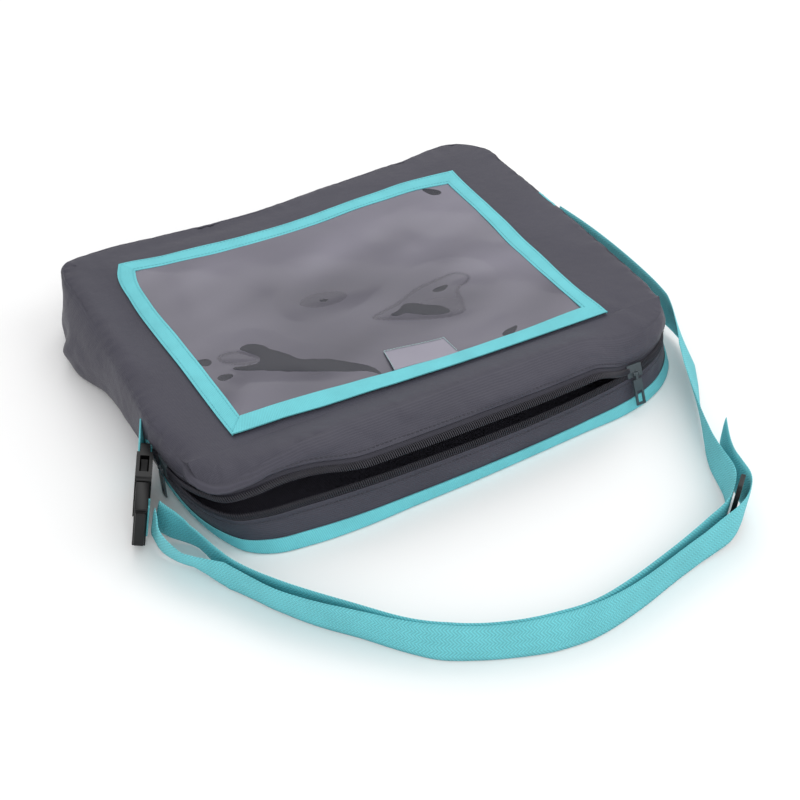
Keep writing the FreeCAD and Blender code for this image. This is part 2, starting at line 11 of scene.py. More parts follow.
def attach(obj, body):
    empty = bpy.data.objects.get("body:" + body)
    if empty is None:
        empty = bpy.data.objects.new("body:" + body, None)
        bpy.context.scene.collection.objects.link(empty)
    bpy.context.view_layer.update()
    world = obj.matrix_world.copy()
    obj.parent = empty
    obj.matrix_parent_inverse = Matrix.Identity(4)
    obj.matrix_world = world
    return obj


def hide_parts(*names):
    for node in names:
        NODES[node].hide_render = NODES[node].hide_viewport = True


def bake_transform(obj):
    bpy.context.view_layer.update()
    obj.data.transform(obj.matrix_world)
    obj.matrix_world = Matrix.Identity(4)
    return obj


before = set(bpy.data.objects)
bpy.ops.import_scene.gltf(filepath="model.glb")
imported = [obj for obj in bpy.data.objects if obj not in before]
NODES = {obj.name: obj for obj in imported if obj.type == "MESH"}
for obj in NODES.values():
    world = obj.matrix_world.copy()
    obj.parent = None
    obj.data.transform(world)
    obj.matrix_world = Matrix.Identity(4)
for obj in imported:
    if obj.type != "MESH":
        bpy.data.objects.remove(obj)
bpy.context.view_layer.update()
MM = 0.001

# ---------------------------------------------------------------- camera

CAMERA_PLACE = (-0.3233, -0.6159, 0.5550)
CAMERA_YAW, CAMERA_PITCH, CAMERA_ROLL = math.radians(29.33), math.radians(40.72), math.radians(0.50)
CAMERA_LENS = 55.55


def make_camera():
    yaw, pitch, roll = CAMERA_YAW, CAMERA_PITCH, CAMERA_ROLL
    ahead = Vector((math.sin(yaw) * math.cos(pitch), math.cos(yaw) * math.cos(pitch), -math.sin(pitch)))
    level = ahead.cross(Vector((0, 0, 1))).normalized()
    rise = level.cross(ahead)
    right = level * math.cos(roll) + rise * math.sin(roll)
    up = rise * math.cos(roll) - level * math.sin(roll)
    data = bpy.data.cameras.new("camera")
    data.lens, data.sensor_width = CAMERA_LENS, 36
    data.clip_start, data.clip_end = 0.05, 20
    camera = bpy.data.objects.new("camera", data)
    turn = Matrix((right, up, -ahead)).transposed().to_4x4()
    camera.matrix_world = Matrix.Translation(CAMERA_PLACE) @ turn
    bpy.context.scene.collection.objects.link(camera)
    bpy.context.scene.camera = camera


make_camera()

# ---------------------------------------------------------------- materials


class Nodes:
    """A small helper to wire a material's nodes."""

    def __init__(self, name):
        self.material = bpy.data.materials.new(name)
        self.material.use_nodes = True
        self.tree = self.material.node_tree
        self.shader = self.tree.nodes["Principled BSDF"]

    def add(self, kind, **values):
        node = self.tree.nodes.new("ShaderNode" + kind)
        for key, value in values.items():
            if hasattr(node, key):
                setattr(node, key, value)
            else:
                node.inputs[key.replace("_", " ")].default_value = value
        return node

    def link(self, source, target):
        self.tree.links.new(source, target)

    def math(self, operation, first, second=None):
        node = self.add("Math", operation=operation)
        for index, value in enumerate((first, second)):
            if value is None:
                continue
            if isinstance(value, (int, float)):
                node.inputs[index].default_value = value
            else:
                self.link(value, node.inputs[index])
        return node.outputs[0]

    def coordinates(self, kind="UV"):
        """Separate components of the UV map, in millimetres, or of the object's place."""
        source = self.add("TexCoord").outputs[kind]
        split = self.add("SeparateXYZ")
        self.link(source, split.inputs[0])
        return source, split.outputs

    def noise(self, source, scale, detail=3.0, roughness=0.55):
        node = self.add("TexNoise", Scale=scale, Detail=detail, Roughness=roughness)
        self.link(source, node.inputs["Vector"])
        return node.outputs["Fac"]

    def ramp(self, source, low, high, first, last):
        """Colour between two shades as the source goes from low to high."""
        node = self.add("ValToRGB")
        node.color_ramp.elements[0].position = low
        node.color_ramp.elements[1].position = high
        node.color_ramp.elements[0].color = (*first, 1)
        node.color_ramp.elements[1].color = (*last, 1)
        self.link(source, node.inputs[0])
        return node.outputs[0]

    def bump(self, height, distance, strength=1.0, before=None):
        node = self.add("Bump", Strength=strength, Distance=distance)
        self.link(height, node.inputs["Height"])
        if before is not None:
            self.link(before, node.inputs["Normal"])
        return node.outputs[0]

    def finish(self, **sockets):
        for key, value in sockets.items():
            socket = self.shader.inputs[key.replace("_", " ")]
            if isinstance(value, bpy.types.NodeSocket):
                self.link(value, socket)
            else:
                socket.default_value = value
        return self.material


def shade(colour, factor):
    return tuple(channel * factor for channel in colour)


def wave(nodes, coordinate, pitch, sharp=1.0):
    """A raised rib every pitch, from 0 to 1."""
    angle = nodes.math("MULTIPLY", coordinate, 2 * math.pi / pitch)
    level = nodes.math("MULTIPLY_ADD", nodes.math("SINE", angle), 0.5)
    level.node.inputs[2].default_value = 0.5
    return nodes.math("POWER", level, sharp) if sharp != 1.0 else level


GREY = (0.056, 0.054, 0.074)


def fabric_material(name, colour=GREY, roughness=0.55, fade=1.0):
    """Thin ribbed polyester, with a fine weave and soft small creases."""
    n = Nodes(name)
    u, v, _ = n.coordinates()[1]
    place = n.coordinates("Object")[0]
    ribs = wave(n, v, 1.15, 1.6)
    cross = wave(n, u, 1.15, 1.6)
    grid = n.math("MAXIMUM", ribs, n.math("MULTIPLY", cross, 0.55))
    creases = n.noise(place, 38.0, 4.0, 0.6)
    patches = n.noise(place, 11.0, 3.0)
    tone = n.math("ADD", n.math("MULTIPLY", patches, 0.55), n.math("MULTIPLY", grid, 0.35))
    colour_out = n.ramp(tone, 0.25, 0.72, shade(colour, 0.84 * fade), shade(colour, 1.14 * fade))
    rough = n.bump(creases, 0.0030, 0.65)
    bump = n.bump(grid, 0.00020, 0.75, rough)
    return n.finish(Base_Color=colour_out, Roughness=roughness, Normal=bump, Sheen_Weight=0.05,
                    Sheen_Roughness=0.4, Specular_IOR_Level=0.34)


TEAL = (0.165, 0.600, 0.660)


def tape_material(name, colour=TEAL, pitch=1.05):
    """Grosgrain binding: fine ribs across, with a soft sheen."""
    n = Nodes(name)
    u, v, _ = n.coordinates()[1]
    place = n.coordinates("Object")[0]
    slant = n.math("ADD", u, n.math("MULTIPLY", v, 0.45))
    ribs = wave(n, slant, pitch)
    threads = wave(n, v, 0.9)
    level = n.math("ADD", n.math("MULTIPLY", ribs, 0.7), n.math("MULTIPLY", threads, 0.3))
    tone = n.math("ADD", n.math("MULTIPLY", level, 0.5), n.math("MULTIPLY", n.noise(place, 60.0), 0.5))
    colour_out = n.ramp(tone, 0.2, 0.75, shade(colour, 0.80), shade(colour, 1.10))
    bump = n.bump(level, 0.00022, 0.7)
    return n.finish(Base_Color=colour_out, Roughness=0.72, Normal=bump, Specular_IOR_Level=0.3)


def webbing_material(name, colour=TEAL):
    """Flat woven webbing: rows of small slanted floats that turn back and forth across it."""
    n = Nodes(name)
    u, v, _ = n.coordinates()[1]
    place = n.coordinates("Object")[0]
    zigzag = n.math("PINGPONG", v, 3.1)
    slant = n.math("ADD", u, n.math("MULTIPLY", zigzag, 0.9))
    floats = wave(n, slant, 2.1, 0.8)
    rows = wave(n, v, 1.03, 0.7)
    rows_soft = n.math("ADD", n.math("MULTIPLY", rows, 0.55), 0.45)
    level = n.math("MULTIPLY", floats, rows_soft)
    tone = n.math("ADD", n.math("MULTIPLY", level, 0.6), n.math("MULTIPLY", n.noise(place, 45.0), 0.4))
    colour_out = n.ramp(tone, 0.15, 0.8, shade(colour, 0.74), shade(colour, 1.16))
    bump = n.bump(level, 0.0004, 0.8)
    return n.finish(Base_Color=colour_out, Roughness=0.75, Normal=bump, Specular_IOR_Level=0.3)


def plain_material(name, colour, roughness, **more):
    n = Nodes(name)
    place = n.coordinates("Object")[0]
    speckle = n.noise(place, 420.0, 2.0)
    colour_out = n.ramp(n.noise(place, 90.0), 0.3, 0.7, shade(colour, 0.85), shade(colour, 1.15))
    bump = n.bump(speckle, 0.0001, 0.25)
    return n.finish(Base_Color=colour_out, Roughness=roughness, Normal=bump, **more)


def vinyl_material():
    """Clear film: painted lighter, as a painted reflection, where air lies under it; clear and dark where it clings
    to the fabric.
    """
    n = Nodes("vinyl")
    place = n.coordinates("Object")[0]
    cling = n.add("Attribute", attribute_name="cling").outputs["Fac"]
    # painted reflection: how much lighter the film is painted at each point, read from the mesh
    haze = n.add("Attribute", attribute_name="haze").outputs["Fac"]
    clear = n.ramp(cling, 0.49, 0.52, (1, 1, 1), (0, 0, 0))
    colour_out = n.ramp(haze, 0.0, 1.0, (0.085, 0.080, 0.105), (0.31, 0.295, 0.36))
    dark = n.add("Mix", data_type="RGBA")
    n.link(clear, dark.inputs["Factor"])
    dark.inputs[6].default_value = (0.036, 0.037, 0.052, 1)
    n.link(colour_out, dark.inputs[7])
    alpha = n.math("MULTIPLY_ADD", clear, 0.22)
    alpha.node.inputs[2].default_value = 0.58
    bump = n.bump(n.noise(place, 22.0, 2.0), 0.0009, 0.25)
    return n.finish(Base_Color=dark.outputs[2], Roughness=0.22, Alpha=alpha, Normal=bump,
                    Specular_IOR_Level=0.35)


FABRIC = fabric_material("grey_fabric")
LINING = fabric_material("lining_fabric", shade(GREY, 0.9), 0.8)
TAPE = tape_material("teal_tape")
BAND = tape_material("teal_band", pitch=1.3)
WEBBING = webbing_material("teal_webbing")
COIL = plain_material("coil", (0.030, 0.028, 0.038), 0.38)
ZIP_TAPE = fabric_material("zip_tape", shade(GREY, 0.72), 0.7)
THREAD = plain_material("thread", (0.045, 0.043, 0.055), 0.6)
PALE_THREAD = plain_material("pale_thread", (0.40, 0.55, 0.57), 0.6)
TEAL_THREAD = plain_material("teal_thread", shade(TEAL, 0.8), 0.6)
BLACK = plain_material("black_plastic", (0.0025, 0.0025, 0.003), 0.38, Specular_IOR_Level=0.3)
SLIDER = plain_material("slider_enamel", (0.050, 0.068, 0.078), 0.34, Specular_IOR_Level=0.6)
VINYL = vinyl_material()

# ---------------------------------------------------------------- mesh helpers


def link(name, vertices, faces, material, uvs=None, smooth=True):
    """A mesh object in metres; uvs holds one (u, v) in millimetres for each vertex."""
    mesh = bpy.data.meshes.new(name)
    mesh.from_pydata([tuple(map(float, v)) for v in vertices], [], [tuple(map(int, f)) for f in faces])
    mesh.validate()
    if uvs is not None:
        layer = mesh.uv_layers.new(name="mm")
        corners = np.zeros(len(mesh.loops), np.int32)
        mesh.loops.foreach_get("vertex_index", corners)
        layer.data.foreach_set("uv", np.asarray(uvs, np.float32)[corners].ravel())
    mesh.polygons.foreach_set("use_smooth", [smooth] * len(mesh.polygons))
    mesh.materials.append(material)
    piece = bpy.data.objects.new(name, mesh)
    bpy.context.scene.collection.objects.link(piece)
    return piece


def grid_faces(rows, columns, wrap=False):
    across = columns if wrap else columns - 1
    i, j = np.meshgrid(np.arange(rows - 1), np.arange(across), indexing="ij")
    k = (j + 1) % columns
    faces = np.stack([i * columns + j, i * columns + k, (i + 1) * columns + k, (i + 1) * columns + j], -1)
    return faces.reshape(-1, 4)


def grid(name, points, material, uv=None, thickness=0.0, offset=-1.0, flip=False):
    """A sheet from points[row, column], in millimetres, with a Solidify for its thickness."""
    points = np.asarray(points, float)
    rows, columns = points.shape[:2]
    faces = grid_faces(rows, columns)
    if flip:
        faces = faces[:, ::-1]
    if uv is None:
        step_r = np.linalg.norm(np.diff(points, axis=0), axis=2).mean(1)
        step_c = np.linalg.norm(np.diff(points, axis=1), axis=2).mean(0)
        v = np.concatenate([[0], np.cumsum(step_r)])
        u = np.concatenate([[0], np.cumsum(step_c)])
        uv = np.stack(np.meshgrid(u, v), -1)
    piece = link(name, points.reshape(-1, 3) * MM, faces, material, np.asarray(uv).reshape(-1, 2))
    if thickness:
        thicken(piece, thickness, offset)
    return piece


def thicken(piece, thickness, offset=-1.0):
    """Give a sheet its thickness; its borders stay sharp, so that neighbouring sheets shade alike."""
    mesh = piece.data
    shared = {}
    for face in mesh.polygons:
        for key in face.edge_keys:
            shared[key] = shared.get(key, 0) + 1
    sharp = [shared.get(tuple(sorted(edge.vertices)), 0) == 1 for edge in mesh.edges]
    mesh.attributes.new("sharp_edge", "BOOLEAN", "EDGE").data.foreach_set("value", sharp)
    modifier = piece.modifiers.new("thickness", "SOLIDIFY")
    modifier.thickness, modifier.offset = thickness * MM, offset
    modifier.use_even_offset = False


def smoothstep(t):
    t = np.clip(t, 0, 1)
    return t * t * (3 - 2 * t)


def bump_at(value, centre, width):
    """A soft bell round a value."""
    return np.exp(-(((value - centre) / width) ** 2))


def ripple(points, scale, seed):
    """Smooth noise from about -1 to 1 at each point; scale is its size in millimetres."""
    flat = np.asarray(points, float).reshape(-1, points.shape[-1]) / scale
    values = [noise.noise(Vector((p[0], p[1], (p[2] if len(p) > 2 else 0.0) + seed * 7.3))) for p in flat]
    return np.array(values).reshape(points.shape[:-1]) * 1.6


# ---------------------------------------------------------------- outline of the case

# Each station has the plan of the foot, of the zip and of the rim, and the rim's height, in mm.
# They go from the left seam round the front, the right side and the back.
STATIONS = [
    ((-177, -50), (-181.5, -50), (-181, -50), 48.5),
    ((-175, -75), (-180, -74), (-177, -71), 47.0),
    ((-171, -97), (-177, -95), (-174.5, -90), 46.5),
    ((-166, -114), (-171, -112), (-172.5, -105), 46.0),
    ((-157, -131), (-160, -126), (-166, -115), 46.0),
    ((-143, -141), (-143, -132), (-152, -118.5), 46.5),
    ((-119, -146), (-119, -134), (-128, -118.5), 48.5),
    ((-90, -148), (-90, -136), (-93, -117.5), 50.0),
    ((-45, -147), (-45, -138), (-46, -117), 50.0),
    ((0, -146), (0, -138.5), (0, -117), 50.0),
    ((45, -144), (45, -138), (46, -118), 50.0),
    ((85, -142), (85, -135.5), (88, -118.5), 50.0),
    ((120, -140.5), (120, -131.5), (122, -119), 50.0),
    ((142, -136), (142, -127.5), (146, -118), 50.0),
    ((162, -127), (160, -119), (163, -112), 49.5),
    ((178, -113), (173, -106), (173, -100), 49.0),
    ((187, -95), (181, -88), (178, -83), 49.0),
    ((187, -50), (184, -50), (181, -50), 49.0),
    ((183, 0), (184, 0), (182.5, 0), 49.0),
    ((181, 60), (183, 60), (183, 60), 49.0),
    ((180, 112), (181, 112), (181.5, 113), 50.0),
    ((176, 134), (178, 136), (180.5, 138), 50.5),
    ((160, 145), (163, 150), (166, 155.5), 50.5),
    ((105, 145), (105, 149), (105, 154), 50.5),
    ((45, 143), (45, 146), (45, 149.5), 50.0),
    ((-35, 142), (-35, 143), (-35, 142.5), 49.5),
    ((-100, 143), (-100, 144.5), (-100, 144.5), 50.0),
    ((-152, 144), (-152, 146), (-151, 147), 50.0),
    ((-176, 139), (-176, 141), (-175.5, 142), 50.0),
    ((-188, 120), (-187, 122), (-181.5, 124), 50.0),
    ((-193, 98), (-192, 98), (-180.5, 98), 49.5),
    ((-193, 76), (-193.5, 72), (-180, 66), 49.0),
    ((-180, 42), (-187, 36), (-180, 30), 48.5),
    ((-177, 0), (-184.5, -5), (-180.5, -10), 48.5),
]
RIGHT_SEAM = 17
ZIP_SHARE = 0.54  # of the wall's height, where the middle plan lies


def station_knots():
    plan = np.array([s[1] for s in STATIONS], float)
    steps = np.linalg.norm(np.diff(np.vstack([plan, plan[:1]]), axis=0), axis=1)
    return np.concatenate([[0], np.cumsum(steps)])


KNOTS = station_knots()
AROUND = KNOTS[-1]


def closed_curve(values, t):
    """Smooth closed curve through the stations' values at places t round the case."""
    values = np.asarray(values, float).reshape(len(STATIONS), -1)
    t = np.mod(np.asarray(t, float), AROUND)
    i = np.clip(np.searchsorted(KNOTS, t, side="right") - 1, 0, len(STATIONS) - 1)
    count = len(STATIONS)
    gaps = np.diff(KNOTS)
    slope = (np.roll(values, -1, 0) - values) / gaps[:, None]
    before = np.roll(slope, 1, 0)
    gap_before = np.roll(gaps, 1)
    tangent = (slope * gap_before[:, None] + before * gaps[:, None]) / (gaps + gap_before)[:, None]
    h = gaps[i]
    x = ((t - KNOTS[i]) / h)[..., None]
    j = (i + 1) % count
    h = h[..., None]
    return (
        values[i] * (2 * x**3 - 3 * x**2 + 1)
        + tangent[i] * h * (x**3 - 2 * x**2 + x)
        + values[j] * (3 * x**2 - 2 * x**3)
        + tangent[j] * h * (x**3 - x**2)
    )


FOOT, MIDDLE, RIM = ([s[k] for s in STATIONS] for k in range(3))
RIM_HEIGHT = [s[3] for s in STATIONS]


def wall(t, share):
    """Points of the zipped case's wall: t round it, share of its height."""
    t, share = np.broadcast_arrays(np.asarray(t, float), np.asarray(share, float))
    foot, middle, rim = (closed_curve(plan, t) for plan in (FOOT, MIDDLE, RIM))
    height = closed_curve(RIM_HEIGHT, t)[..., 0]
    a = ((share - ZIP_SHARE) * (share - 1) / ZIP_SHARE)[..., None]
    b = (share * (share - 1) / (ZIP_SHARE * (ZIP_SHARE - 1)))[..., None]
    c = (share * (share - ZIP_SHARE) / (1 - ZIP_SHARE))[..., None]
    plan = foot * a + middle * b + rim * c
    return np.concatenate([plan, (share * height)[..., None]], -1)


def wall_at(t, height):
    """Points of the wall at a height in millimetres."""
    return wall(t, np.asarray(height, float) / closed_curve(RIM_HEIGHT, t)[..., 0])


def outward(t):
    """Level unit vectors that point out of the case at places t."""
    step = closed_curve(MIDDLE, np.asarray(t) + 0.5) - closed_curve(MIDDLE, np.asarray(t) - 0.5)
    step /= np.linalg.norm(step, axis=-1, keepdims=True)
    return np.stack([step[..., 1], -step[..., 0], np.zeros_like(step[..., 0])], -1)


def find_t(x=None, y=None, low=0.0, high=None, plan=None):
    """The place between low and high where the plan crosses x or y."""
    t = np.linspace(low, high, 4000)
    value = closed_curve(plan or MIDDLE, t)[:, 0 if x is not None else 1]
    return float(t[np.argmin(abs(value - (x if x is not None else y)))])


T_RIGHT_SEAM = KNOTS[RIGHT_SEAM]
T_CENTRE = find_t(x=0, low=KNOTS[6], high=KNOTS[12])

# ---------------------------------------------------------------- the lip's lift

FOLD_Y, FOLD_Z = -95.0, 51.2
LIP_REST = math.radians(22)
LEFT_STILL, LEFT_FREE = -178.0, -100.0
RIGHT_STILL, RIGHT_FREE = 131.0, 88.0


def lip_weight(x):
    left = smoothstep((x - LEFT_STILL) / (LEFT_FREE - LEFT_STILL))
    right = smoothstep((RIGHT_STILL - x) / (RIGHT_STILL - RIGHT_FREE))
    return np.where(x < 0, left, right)


def lifted(points):
    """Points of the zipped lip, turned about the fold by their share of its resting angle."""
    points = np.array(points, float)
    angle = LIP_REST * lip_weight(points[..., 0])
    y, z = points[..., 1] - FOLD_Y, points[..., 2] - FOLD_Z
    moved = points.copy()
    moved[..., 1] = FOLD_Y + y * np.cos(angle) + z * np.sin(angle)
    moved[..., 2] = FOLD_Z - y * np.sin(angle) + z * np.cos(angle)
    return moved


def ride_lip(piece):
    """A half of the lip, or a part of it: its transform is baked into its mesh."""
    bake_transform(piece)
    return piece


def open_gap(t):
    """How far the zip stands open round the left corner, between the two sliders."""
    return 8.5 * smoothstep((t - 22) / 50) * (1 - smoothstep((t - 108) / 60))


# ---------------------------------------------------------------- puckers and folds


def pucker(t):
    """Gathers along the top seam, closer together along the front."""
    t = np.asarray(t, float)
    p = np.stack([t, np.zeros_like(t)], -1)
    fine = ripple(p, 4.6, 3)
    broad = ripple(p, 14.0, 9)
    return fine * 0.75 + broad * 0.8


def top_height(x, y, distance, t):
    """Height of the zipped top panel at a plan point; distance is from the rim, t its place."""
    height = closed_curve(RIM_HEIGHT, t)[..., 0]
    z = FOLD_Z - (FOLD_Z - height) * np.exp(-distance / 6.0)
    z = z - 1.6 * np.exp(-distance / 1.6)
    z = z + pucker(t) * 1.35 * np.exp(-distance / 8.0) * (1 - np.exp(-distance / 1.2))
    points = np.stack([x, y], -1)
    inside = smoothstep((distance - 4) / 22)
    z = z + inside * (ripple(points, 62.0, 1) * 1.4 + ripple(points, 27.0, 2) * 0.55)
    # the slack dip behind the window's left side, and the fold beside its right front corner
    z = z - 3.4 * bump_at(x, -158, 10) * bump_at(y, 62, 46)
    z = z + 1.6 * bump_at(x, -170, 6) * bump_at(y, 40, 60)
    z = z - 2.0 * bump_at(x, -60, 60) * bump_at(y, 134, 6)
    z = z + 2.6 * bump_at(x + 0.2 * (y + 100), 140, 5) * bump_at(y, -97, 14)
    z = z - 1.6 * bump_at(x + 0.2 * (y + 100), 150, 6) * bump_at(y, -95, 16)
    keep = np.exp(-abs(y - FOLD_Y) / 5.0)
    return z * (1 - keep) + FOLD_Z * keep


RIM_T = np.linspace(0, AROUND, 1200, endpoint=False)
RIM_POINTS = closed_curve(RIM, RIM_T)


def nearest_rim(plan):
    """Distance to the rim and the place round it, for plan points."""
    plan = np.asarray(plan, float).reshape(-1, 2)
    distance, place = np.empty(len(plan)), np.empty(len(plan))
    for start in range(0, len(plan), 2000):
        block = plan[start : start + 2000]
        gap = np.linalg.norm(block[:, None] - RIM_POINTS[None], axis=2)
        index = gap.argmin(1)
        distance[start : start + 2000] = gap[np.arange(len(block)), index]
        place[start : start + 2000] = RIM_T[index]
    return distance, place


def top_points(plan):
    """Points on the zipped top panel over plan points of any grid shape."""
    plan = np.asarray(plan, float)
    distance, t = nearest_rim(plan)
    flat = plan.reshape(-1, 2)
    z = top_height(flat[:, 0], flat[:, 1], distance, t)
    return np.concatenate([flat, z[:, None]], 1).reshape(*plan.shape[:-1], 3)


# ---------------------------------------------------------------- top panel


def inset_ring(plan, t, inset):
    points = closed_curve(plan, t)
    step = closed_curve(plan, t + 0.6) - closed_curve(plan, t - 0.6)
    step /= np.linalg.norm(step, axis=-1, keepdims=True)
    inward = np.stack([-step[:, 1], step[:, 0]], -1)
    return points + inward * inset


def panel_mesh(plan, insets, spacing, cuts):
    """Plan points and triangles of a panel: rings inside its outline, then a plain grid."""
    points, edges = [], []
    for inset in insets:
        step = 2.2 if inset < 6 else 4.0
        t = np.linspace(0, AROUND, int(AROUND / step), endpoint=False)
        ring = inset_ring(plan, t, inset)
        first = len(points)
        points.extend(map(tuple, ring))
        if inset == insets[0]:
            edges += [(first + k, first + (k + 1) % len(ring)) for k in range(len(ring))]
    outline = np.array(points[: len(edges)])
    grid_x, grid_y = np.meshgrid(np.arange(-190, 195, spacing), np.arange(-160, 160, spacing))
    grid_y = grid_y + (np.round(grid_x / spacing) % 2) * spacing / 2
    candidates = np.stack([grid_x.ravel(), grid_y.ravel()], -1)
    rim = inset_ring(plan, np.linspace(0, AROUND, 900, endpoint=False), 0)
    gap = np.min(np.linalg.norm(candidates[:, None] - rim[None], axis=2), 1)
    keep = (gap > insets[-1] + spacing * 0.6) & inside_loop(candidates, rim)
    points.extend(map(tuple, candidates[keep]))
    for start, end in cuts:
        first = len(points)
        count = int(math.dist(start, end) / 3)
        for k in range(count + 1):
            share = k / count
            points.append((start[0] + (end[0] - start[0]) * share, start[1] + (end[1] - start[1]) * share))
        edges += [(first + k, first + k + 1) for k in range(count)]
    result = delaunay_2d_cdt([Vector(p) for p in points], edges, [], 0, 1e-4)
    vertices = np.array([tuple(v) for v in result[0]])
    faces = [f for f in result[2]]
    centres = np.array([vertices[list(f)].mean(0) for f in faces])
    good = inside_loop(centres, outline)
    return vertices, [f for f, ok in zip(faces, good) if ok]


def inside_loop(points, loop):
    """Which plan points lie inside a closed loop."""
    x, y = points[:, 0][:, None], points[:, 1][:, None]
    x0, y0 = loop[:, 0][None], loop[:, 1][None]
    x1, y1 = np.roll(loop[:, 0], -1)[None], np.roll(loop[:, 1], -1)[None]
    crosses = (y0 > y) != (y1 > y)
    reach = (x1 - x0) * (y - y0) / np.where(y1 == y0, 1e-9, y1 - y0) + x0
    return (crosses & (x < reach)).sum(1) % 2 == 1


def split_piece(name, vertices, plan, faces, keep, material, thickness):
    chosen = [f for f, ok in zip(faces, keep) if ok]
    used = sorted({v for f in chosen for v in f})
    order = {v: k for k, v in enumerate(used)}
    piece = link(name, vertices[used] * MM, [[order[v] for v in f] for f in chosen], material, plan[used])
    thicken(piece, thickness)
    return piece


def make_top():
    """The top panel, and its front strip in two halves, turned up to the lip's resting lift."""
    cuts = [((-178, FOLD_Y), (182, FOLD_Y)), ((0, FOLD_Y), (0, -116.5))]
    plan, faces = panel_mesh(RIM, [0.0, 0.8, 2.0, 4.0, 7.0, 11.0], 4.6, cuts)
    shape = top_points(plan)
    centres = np.array([plan[list(f)].mean(0) for f in faces])
    behind = centres[:, 1] > FOLD_Y
    left = ~behind & (centres[:, 0] < 0)
    main = split_piece("top_cover", shape, plan, faces, behind, FABRIC, 4.2)
    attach(main, "case")
    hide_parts("top_panel", "top_padding", "top_lining")
    raised = lifted(shape)
    for side, keep in (("left", left), ("right", ~behind & ~left)):
        half = split_piece("lip_cover_" + side, raised, plan, faces, keep, FABRIC, 1.6)
        ride_lip(half)
    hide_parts("lip_strip")


make_top()

# ---------------------------------------------------------------- walls


def wrinkle(points, t, share):
    """How far a wall bulges out at each point."""
    where = np.stack([t, points[..., 2] * 1.6], -1)
    fold = ripple(where, 30.0, 5) * 1.3 + ripple(where, 12.0, 6) * 0.45
    still = np.sin(np.pi * np.clip(share, 0, 1))
    return fold * still


def wall_sheet(name, t, shares, material, thickness=1.2, proud=0.0, shape=None):
    """A stretch of wall between places and shares of its height."""
    tt, ss = np.meshgrid(t, shares)
    points = wall(tt, ss)
    push = wrinkle(points, tt, ss) + proud
    if shape is not None:
        push = push + shape(tt, points[..., 2])
    points = points + outward(tt) * push[..., None]
    height = closed_curve(RIM_HEIGHT, tt)[..., 0]
    uv = np.stack([tt, ss * height], -1)
    return grid(name, points, material, uv, thickness, offset=-1.0)


def spaced(low, high, step):
    return np.linspace(low, high, max(2, int(abs(high - low) / step) + 1))


# Heights on the front wall, in millimetres.
LOWER_STITCH, LOWER_COIL, UPPER_COIL = 20.9, 26.0, 28.5
LOWER_TAPE_LOW, LOWER_TAPE_HIGH = 19.0, 25.6


def rear_shape(t, z):
    """The seam's pinch at the rim and the crumple low on the left wall."""
    place = closed_curve(MIDDLE, t)
    rim = closed_curve(RIM_HEIGHT, t)[..., 0]
    pinch = -1.3 * np.exp(-(rim - z) / 1.4) + pucker(t) * 0.5 * np.exp(-(rim - z) / 7)
    foot = -2.0 * np.exp(-z / 1.5)
    left = place[..., 0] < -150
    crumple = left * (
        3.0 * bump_at(place[..., 1] + 0.6 * z, 98, 9) * bump_at(z, 16, 10)
        - 2.6 * bump_at(place[..., 1] + 0.6 * z, 116, 8) * bump_at(z, 17, 9)
    )
    return pinch + foot + crumple


def make_rear_wall():
    piece = wall_sheet("rear_wall", spaced(T_RIGHT_SEAM, AROUND, 2.4), np.linspace(0, 1, 26) ** 0.92, FABRIC,
                       shape=rear_shape)
    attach(piece, "case")
    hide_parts("rear_gusset")


def make_lower_front():
    """Teal band and lower gusset."""
    t = spaced(-0.6, T_RIGHT_SEAM + 0.6, 2.2)
    heights = [0.0, 0.5, 1.4, 3.0, 5.0, 7.0, 8.8, 9.8]
    tt, hh = np.meshgrid(t, heights)
    points = wall_at(tt, hh) + outward(tt) * (1.1 - 0.9 * np.exp(-hh / 0.6))[..., None]
    points[..., 2] += 0.15
    band = grid("foot_band", points, BAND, np.stack([tt, hh], -1), 0.9)
    heights = [8.0, 9.5, 10.5, 12.0, 14.0, 16.5, 19.0, 21.0, 22.4, 23.2, 23.6]
    tt, hh = np.meshgrid(t, heights)
    points = wall_at(tt, hh)
    crease = ripple(np.stack([tt, hh * 2.2], -1), 16.0, 12) * 0.9 * np.sin(np.pi * (hh - 8) / 15.7)
    fold = 0.5 * np.exp(-((hh - 22.6) / 0.9) ** 2) - 0.35 * np.exp(-((hh - 20.6) / 0.5) ** 2)
    points = points + outward(tt) * (crease + fold)[..., None]
    gusset = grid("lower_gusset_skin", points, FABRIC, np.stack([tt, hh], -1), 1.2)
    for piece, slot, node in ((band, "teal_binding", "front_band"), (gusset, "grey_fabric", "lower_gusset")):
        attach(piece, "case")
        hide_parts(node)


make_rear_wall()
make_lower_front()

# ---------------------------------------------------------------- zip


